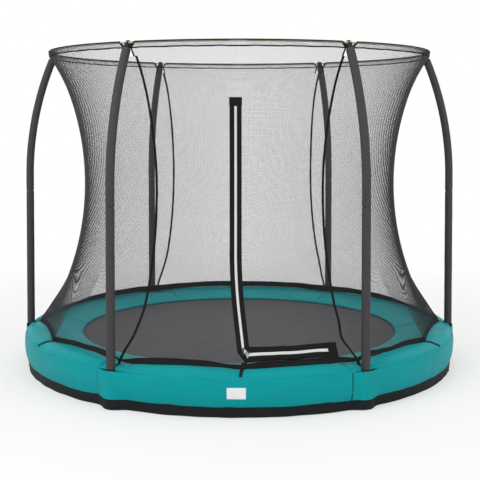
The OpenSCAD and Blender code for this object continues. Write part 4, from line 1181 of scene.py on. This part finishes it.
# black rims of the pockets' mouths, where the sleeves go in
parts = []
for pole in POLES[:5]:
    ring = np.radians(np.linspace(0, 360, 49)[:-1])
    rings = [[(POLE_RADIUS + (0.0249 + 0.0016 * math.cos(b)) * math.cos(a),
               (0.0249 + 0.0016 * math.cos(b)) * math.sin(a),
               0.2030 + 0.0016 * math.sin(b) + 0.012 * max(0.0, -math.cos(a)) ** 2)
              for b in np.radians(np.arange(0, 360, 60))] for a in ring]
    rim_points, rim_faces = sweep([[turned(r, pole) for r in rings]], 6, closed=True)
    parts.append((rim_points, rim_faces))
rims = piece("pocket_rims", *together(parts), "black_webbing", stands_for=["pad_drop"])
shape = bmesh.new()
shape.from_mesh(rims.data)
bmesh.ops.recalc_face_normals(shape, faces=shape.faces)
shape.to_mesh(rims.data)
shape.free()

# ------------------------------------------------------------ ground skirt

azimuths = np.concatenate([around(k * SECTOR - PAD_SEAM, (k + 1) * SECTOR - PAD_SEAM)[:-1] for k in range(6)])
heights = np.concatenate([[0.0022, 0.004], np.linspace(0.008, 0.088, 12), [0.090]])
grid_a, z = np.meshgrid(azimuths, heights, indexing="ij")
turn = np.radians(grid_a)
spot = np.stack([1.3 * np.cos(turn), 1.3 * np.sin(turn), z], -1)
low = 1 - step(0.0, 0.06, z)
wall = 1.2822 - 0.004 * low + 0 * z
radius = wall + pocket_out(grid_a, wall, POCKET - 0.0038) + (0.0005 + 0.0022 * low) * ripple(spot, 0.13, 101)
z = z + 0.0014 * (ripple(spot * [1, 1, 0], 0.3, 103) + 0.3) * (z < 0.02)
rows = np.stack([radius * np.cos(turn), radius * np.sin(turn), np.maximum(z, 0.0012)], -1)
out = np.stack([np.cos(turn), np.sin(turn), 0 * z], -1)
points, faces = slab(rows, out, -0.0005, 0.0005, loop=True)
skirt = piece("ground_skirt_cloth", points, faces, "black_fabric", stands_for=["ground_skirt"])

# ------------------------------------------------------------ blank patch and stitches

centre = 270 + math.degrees(math.asin(-0.008 / 1.303))
grid_a, z = np.meshgrid(centre + np.degrees(np.linspace(-0.047, 0.047, 24) / 1.3025),
                        np.linspace(0.101, 0.158, 14),
                        indexing="ij")
radius = drop_radius(z) + drop_relief(grid_a, z, 5) + 0.0003
turn = np.radians(grid_a)
rows = np.stack([radius * np.cos(turn), radius * np.sin(turn), z], -1)
out = np.stack([np.cos(turn), np.sin(turn), 0 * z], -1)
points, faces = slab(rows, out, 0.0, 0.0009)
patch = soft_edges(piece("white_patch_cloth", points, faces, "white_patch", stands_for=["blank_patch"]),
                   0.0003)


def modelled_stitch():
    """One stitch, made at the middle along X, with its round back up."""
    bpy.ops.object.select_all(action="DESELECT")
    bpy.ops.mesh.primitive_cylinder_add(vertices=6, radius=0.0005, depth=0.0042, rotation=(0, math.pi / 2, 0))
    stitch = bpy.context.active_object
    bpy.ops.object.transform_apply(location=True, rotation=True, scale=True)
    bpy.ops.object.mode_set(mode="EDIT")
    bpy.ops.mesh.select_mode(type="FACE")
    bpy.ops.mesh.select_all(action="DESELECT")
    shape = bmesh.from_edit_mesh(stitch.data)
    for f in shape.faces:
        f.select_set(abs(f.normal.x) > 0.9)
    bmesh.update_edit_mesh(stitch.data)
    bpy.ops.mesh.inset(thickness=0.0002, depth=0.0003)
    bpy.ops.object.mode_set(mode="OBJECT")
    points = np.array([tuple(v.co) for v in stitch.data.vertices])
    faces = [tuple(f.vertices) for f in stitch.data.polygons]
    bpy.data.objects.remove(stitch)
    return points, faces


stitch_points, stitch_faces = modelled_stitch()


def stitch_line(way, out, pitch=0.0062):
    """Stitches along a run of points on a cloth."""
    way, out = np.asarray(way), np.asarray(out)
    run = np.concatenate([[0], np.cumsum(np.linalg.norm(np.diff(way, axis=0), axis=1))])
    where = np.arange(pitch / 2, run[-1], pitch)
    place = np.stack([np.interp(where, run, way[:, k]) for k in range(3)], -1)
    up = np.stack([np.interp(where, run, out[:, k]) for k in range(3)], -1)
    up /= np.linalg.norm(up, axis=1, keepdims=True)
    along = np.stack([np.interp(where + 0.001, run, way[:, k]) for k in range(3)], -1) - place
    along[-1] = along[-2]
    along /= np.linalg.norm(along, axis=1, keepdims=True)
    return placed(stitch_points, stitch_faces, place, along, np.cross(up, along), up)


parts = []
for i in range(6):
    first = i * SECTOR - PAD_SEAM
    for low, high in ((first + 0.3, first + PAD_SEAM - 1.5), (first + PAD_SEAM + 1.5, first + SECTOR - 0.3)):
        ring = np.linspace(low, high, 120)
        turn = np.radians(ring)
        for radius in (1.2865,):
            height = pad_height(radius) + pad_relief(ring, np.full_like(ring, radius), i + 1) + 0.0002
            way = np.stack([radius * np.cos(turn), radius * np.sin(turn), height], -1)
            slope = float(pad_slope(radius))
            out = np.stack([-slope * np.cos(turn), -slope * np.sin(turn), 0 * turn + 1], -1)
            parts.append(stitch_line(way, out))
        height = DROP_BOTTOM + lower_edge(ring) + 0.011
        radius = drop_radius(height) - 0.0008 + pocket_out(ring, drop_radius(height), POCKET) \
            + drop_relief(ring, height, i + 1) + 0.0007
        way = np.stack([radius * np.cos(turn), radius * np.sin(turn), height], -1)
        parts.append(stitch_line(way, np.stack([np.cos(turn), np.sin(turn), 0 * turn], -1)))
    for seam in (first + 0.20, first + 0.34, first - 0.20):
        z = np.linspace(0.062, 0.193, 40)
        grid = np.full_like(z, seam)
        panel = i + 1 if seam > first else (i if i else 6)
        ends = abs(seam - first)
        radius = drop_radius(z) - 0.0001 + drop_relief(grid, z,
                                                       panel) - 0.0022 * math.exp(-(ends / 0.22) ** 2) \
            + pocket_out(grid, drop_radius(z), POCKET)
        turn = np.radians(grid)
        way = np.stack([radius * np.cos(turn), radius * np.sin(turn), z], -1)
        parts.append(stitch_line(way, np.stack([np.cos(turn), np.sin(turn), 0 * turn], -1)))
stitches = piece("pad_stitches", *together(parts), "teal_cover", stands_for=["pad_drop"])
stitches.data.materials[0] = finish_material("seam_thread", (0.006, 0.13, 0.14), 0.6, drift=0.1)

# ------------------------------------------------------------ foam sleeves


def pole_way(start, end, count):
    """Points up a pole's middle between two lengths from the ground, with the way along it, on the +X
    side."""
    lengths = np.linspace(start, end, count)
    straight = np.minimum(lengths, POLE_BEND_Z)
    angle = np.maximum(lengths - POLE_BEND_Z, 0) / POLE_BEND_RADIUS
    x = POLE_RADIUS - POLE_BEND_RADIUS * (1 - np.cos(angle))
    z = straight + POLE_BEND_RADIUS * np.sin(angle)
    return np.stack([x, 0 * x, z], -1), np.stack([-np.sin(angle), 0 * x, np.cos(angle)], -1), lengths


def sleeve(name, pole, start, end, seed):
    """A foam sleeve with rounded ends and a lengthwise seam, closed down its bore."""
    body = np.linspace(start + 0.010, end - 0.010, max(12, int((end - start) / 0.035)))
    lengths = np.concatenate([[start, start + 0.0012, start + 0.004], body, [end - 0.004, end - 0.0012, end]])
    shell = np.concatenate([[0.0188, 0.0210, 0.0227], np.full(len(body), 0.0231), [0.0227, 0.0210, 0.0188]])
    spots = [pole_way(v, v, 1) for v in lengths]
    way = np.array([s[0][0] for s in spots])
    along = np.array([s[1][0] for s in spots])
    sides = 44
    turn = np.radians(np.arange(sides) * 360 / sides)
    side = np.cross(along, np.array([0, 1.0, 0]))
    rings = []
    for k in range(len(lengths)):
        uneven = 0.00035 * ripple(np.stack([np.cos(turn) * 0.05, np.sin(turn) * 0.05,
                                            0 * turn + lengths[k]], -1), 0.09, seed)
        seam = 0.0012 * np.exp(-(((turn - math.radians(200) + math.pi) % math.tau - math.pi) / 0.09) ** 2)
        radius = shell[k] + uneven - seam
        rings.append(way[k] + radius[:, None]
                     * (np.cos(turn)[:, None] * side[k] + np.sin(turn)[:, None] * np.array([0, 1.0, 0])))
    bore = [way[k] + 0.0130 * (np.cos(turn)[:, None] * side[k] + np.sin(turn)[:, None]
                               * np.array([0, 1.0, 0]))
            for k in range(len(lengths) - 1, -1, -1)]
    points, faces = sweep([[turned(r, pole) for r in rings + bore]], sides, closed=True)
    made = piece(name, points, faces, "grey_foam", stands_for=["pole_sleeves"])
    shape = bmesh.new()
    shape.from_mesh(made.data)
    bmesh.ops.recalc_face_normals(shape, faces=shape.faces)
    shape.to_mesh(made.data)
    shape.free()


bend_end = POLE_BEND_Z + POLE_BEND_RADIUS * bend
for k, pole in enumerate(POLES):
    sleeve(f"sleeve_lower_{k + 1}", pole, CREASE_Z + 0.0005, 1.0290, 200 + k)
    sleeve(f"sleeve_upper_{k + 1}", pole, 1.0300, bend_end - 0.0002, 220 + k)

# ------------------------------------------------------------ mat, its band and loops

MAT_RADIUS = 1.035
rings_at = np.concatenate([np.linspace(0.02, 0.9, 30), np.linspace(0.92, MAT_RADIUS, 12)])
turn = np.radians(np.arange(0, 360, 2.5))
grid_r, grid_t = np.meshgrid(rings_at, turn, indexing="ij")
spot = np.stack([grid_r * np.cos(grid_t), grid_r * np.sin(grid_t), 0 * grid_r], -1)
sag = -0.0035 * (1 - (grid_r / MAT_RADIUS) ** 2) + 0.0004 * ripple(spot, 0.35,
                                                                   300) * (1 - step(0.8, 1.03, grid_r))
rows = np.stack([grid_r * np.cos(grid_t), grid_r * np.sin(grid_t), MAT_TOP - 0.001 + sag], -1)
rows = np.concatenate([rows, rows[:, :1]], 1)
up = np.zeros_like(rows)
up[..., 2] = 1
points, faces = slab(rows, up, -0.0009, 0.0009)
mat = piece("jumping_mat", points, faces, "mat_fabric", body="mat_body", stands_for=["mat"])
shape = bmesh.new()
shape.from_mesh(mat.data)
bmesh.ops.remove_doubles(shape, verts=shape.verts, dist=1e-6)
bmesh.ops.delete(shape, geom=[f for f in shape.faces if len({round(v.co.xy.length, 5) for v in f.verts}) == 1
                              and f.calc_center_median().xy.length < 0.03], context="FACES_ONLY")
bmesh.ops.holes_fill(shape, edges=[e for e in shape.edges if e.is_boundary], sides=0)
bmesh.ops.delete(shape, geom=[f for f in shape.faces if f.calc_area() < 1e-12], context="FACES_ONLY")
bmesh.ops.recalc_face_normals(shape, faces=shape.faces)
shape.to_mesh(mat.data)
shape.free()
mat.data.polygons.foreach_set("use_smooth", [True] * len(mat.data.polygons))

parts = []
turn = np.radians(np.arange(0, 360, 2.5))
band_r = np.linspace(MAT_RADIUS - 0.050, MAT_RADIUS - 0.0005, 8)
rows = np.stack([np.outer(np.cos(turn), band_r), np.outer(np.sin(turn), band_r),
                 np.full((len(turn), 8), 0.1728)], -1)
up = np.zeros_like(rows)
up[..., 2] = 1
parts.append(slab(rows, up, -0.0011, 0.0011, loop=True))
for k in range(SPRINGS):
    azimuth = (k + 0.5) * 360 / SPRINGS
    way = [(1.010, 0.1708), (1.030, 0.1702), (1.037, 0.1696), (1.0415, 0.1690), (1.0432, 0.1715),
           (1.0425, 0.1752),
           (1.0395, 0.1762), (1.0370, 0.1745)]
    rows = np.array([[(x, y, z) for y in (-0.0145, -0.005, 0.005, 0.0145)] for x, z in way])
    slope = np.gradient(np.array(way), axis=0)
    slope /= np.linalg.norm(slope, axis=1, keepdims=True)
    out = np.stack([slope[:, 1], 0 * slope[:, 0], -slope[:, 0]], -1)
    parts.append(slab(turned(rows, azimuth), np.repeat(turned(out, azimuth)[:, None], 4, 1), -0.0006, 0.0006))
piece("mat_edge_band", *together(parts), "black_webbing", body="mat_body", stands_for=["mat_hem"])

# ------------------------------------------------------------ springs

LINK_TIP = 1.0724
HOOK_R = LINK_TIP - 0.0075
HOOK_Z = RING_Z + 0.002 + 0.0003 + 0.0016
WIRE = 0.0016
COIL_IN, COIL_OUT = 1.0800, 1.1880


def modelled_spring():
    """One spring along +X: a coil of wire with a hook down at each end."""
    bpy.ops.object.select_all(action="DESELECT")
    turns = 15
    bpy.ops.mesh.primitive_circle_add(vertices=6, radius=WIRE, location=(0, 0.0089, 0),
                                      rotation=(0, math.pi / 2, 0), fill_type="NOTHING")
    coil = bpy.context.active_object
    bpy.ops.object.transform_apply(location=True, rotation=True, scale=True)
    use_modifier(coil, "SCREW", axis="X", angle=math.tau * turns, screw_offset=COIL_OUT - COIL_IN,
                 steps=10 * turns, render_steps=10 * turns, use_smooth_shade=True)
    coil.data.transform(Matrix.Translation((COIL_IN, 0, RING_Z)))
    shapes = [coil]
    for way in (
            [(COIL_OUT, 0.0089, RING_Z), (COIL_OUT + 0.0035, 0.0070, RING_Z + 0.002),
             (COIL_OUT + 0.008, 0.003, RING_Z + 0.001),
             (COIL_OUT + 0.013, 0, RING_Z), (1.190 + 0.031, 0, RING_Z), (1.190 + 0.0335, 0, RING_Z - 0.0009),
             (1.190 + 0.0350, 0, RING_Z - 0.004), (1.190 + 0.0350, 0, RING_Z - 0.0085)],
            [(COIL_IN, 0.0089, RING_Z), (COIL_IN - 0.002, 0.0075, RING_Z + 0.0030),
             (COIL_IN - 0.0040, 0.0030, HOOK_Z - 0.0004),
             (COIL_IN - 0.0060, 0, HOOK_Z), (HOOK_R + 0.004, 0, HOOK_Z),
             (HOOK_R + 0.0012, 0, HOOK_Z - 0.0012),
             (HOOK_R, 0, HOOK_Z - 0.004), (HOOK_R, 0, HOOK_Z - 0.0095)]):
        way = np.array(way)
        along = np.gradient(way, axis=0)
        along /= np.linalg.norm(along, axis=1, keepdims=True)
        side = np.cross(along, (0.02, 1, 0.01))
        side /= np.linalg.norm(side, axis=1, keepdims=True)
        other = np.cross(along, side)
        rings = [[way[k] + WIRE * (math.cos(a) * side[k] + math.sin(a)
                                   * other[k]) for a in np.radians(np.arange(0, 360, 60))]
                 for k in range(len(way))]
        points, faces = sweep([rings], 6)
        mesh = bpy.data.meshes.new("hook")
        mesh.from_pydata([tuple(p) for p in points], [], faces)
        hook = bpy.data.objects.new("hook", mesh)
        bpy.context.scene.collection.objects.link(hook)
        shapes.append(hook)
    bpy.ops.object.select_all(action="DESELECT")
    for shape in shapes:
        shape.select_set(True)
    bpy.context.view_layer.objects.active = coil
    bpy.ops.object.join()
    made = bmesh.new()
    made.from_mesh(coil.data)
    bmesh.ops.holes_fill(made, edges=[e for e in made.edges if e.is_boundary], sides=0)
    bmesh.ops.recalc_face_normals(made, faces=made.faces)
    made.to_mesh(coil.data)
    made.free()
    points = np.array([tuple(v.co) for v in coil.data.vertices])
    faces = [tuple(f.vertices) for f in coil.data.polygons]
    bpy.data.objects.remove(coil)
    return points, faces


spring_points, spring_faces = modelled_spring()
for k in range(SPRINGS):
    azimuth = (k + 0.5) * 360 / SPRINGS
    made = piece(f"spring_{k + 1}", turned(spring_points, azimuth), spring_faces, "spring_steel", body=None,
                 stands_for=["springs"])
    turn = math.radians(azimuth)
    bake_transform(made)

# ------------------------------------------------------------ camera, light, floor


def stage_setting():
    camera_data = bpy.data.cameras.new("camera")
    camera = bpy.data.objects.new("camera", camera_data)
    bpy.context.scene.collection.objects.link(camera)
    camera.location = (0.0317, -6.0609, 1.481)
    camera.rotation_euler = (math.radians(90 - 2.04), 0, math.radians(0.30))
    camera_data.sensor_width = 36
    camera_data.lens = 73.6
    camera_data.shift_x = 0.0015
    camera_data.shift_y = -0.1823
    camera_data.clip_end = 200
    bpy.context.scene.camera = camera

    for name, place, aim, size, power in (
            ("key", (-3.2, -4.2, 4.6), (0, 0, 0.6), 3.0, 150),
            ("fill", (4.4, -3.6, 2.6), (0, 0, 0.6), 3.5, 60),
            ("top", (0.3, 0.6, 5.2), (0, 0, 0.4), 4.0, 110)):
        light = bpy.data.lights.new(name, "AREA")
        light.size = size
        light.energy = power
        lamp = bpy.data.objects.new(name, light)
        bpy.context.scene.collection.objects.link(lamp)
        lamp.location = place
        lamp.rotation_euler = (Vector(aim) - Vector(place)).to_track_quat("-Z", "Y").to_euler()

    world = bpy.data.worlds.new("studio")
    bpy.context.scene.world = world
    world.use_nodes = True
    tree = world.node_tree
    tree.nodes.clear()
    rays = add(tree, "ShaderNodeLightPath")
    seen = add(tree, "ShaderNodeMath",
               [(0, rays.outputs["Is Camera Ray"]), (1, rays.outputs["Is Glossy Ray"])],
               operation="MAXIMUM")
    seen = add(tree, "ShaderNodeMath", [(0, seen.outputs[0]), (1, rays.outputs["Is Transmission Ray"])],
               operation="MAXIMUM")
    strength = add(tree, "ShaderNodeMath", [(0, seen.outputs[0])], operation="MULTIPLY_ADD", in_1=0.45,
                   in_2=0.55)
    sky = add(tree, "ShaderNodeBackground", [("Strength", strength.outputs[0])])
    sky.inputs["Color"].default_value = (1, 1, 1, 1)
    put = tree.nodes.new("ShaderNodeOutputWorld")
    tree.links.new(sky.outputs[0], put.inputs["Surface"])

    bpy.ops.mesh.primitive_plane_add(size=60, location=(0, 0, -0.0005))
    floor = bpy.context.active_object
    floor.name = "floor"
    pale = bpy.data.materials.new("pale_floor")
    pale.use_nodes = True
    tree = pale.node_tree
    skin = tree.nodes["Principled BSDF"]
    skin.inputs["Base Color"].default_value = (0.86, 0.86, 0.86, 1)
    skin.inputs["Roughness"].default_value = 0.9
    skin.inputs["Specular IOR Level"].default_value = 0.1
    rays = add(tree, "ShaderNodeLightPath")
    where = add(tree, "ShaderNodeNewGeometry")
    away = add(tree, "ShaderNodeVectorMath", [(0, where.outputs["Position"])], operation="LENGTH")
    pale_far = add(tree, "ShaderNodeMapRange", [(0, away.outputs["Value"])], interpolation_type="SMOOTHSTEP",
                   in_1=1.5, in_2=4.5, in_3=0.55, in_4=1.0)
    share = add(tree, "ShaderNodeMath", [(0, rays.outputs["Is Camera Ray"]), (1, pale_far.outputs[0])],
                operation="MULTIPLY")
    glow = add(tree, "ShaderNodeEmission")
    mixed = add(tree, "ShaderNodeMixShader",
                [(0, share.outputs[0]), (1, skin.outputs[0]), (2, glow.outputs[0])])
    tree.links.new(mixed.outputs[0], tree.nodes["Material Output"].inputs["Surface"])
    floor.data.materials.append(pale)
    bpy.context.scene.view_settings.view_transform = "Standard"


stage_setting()
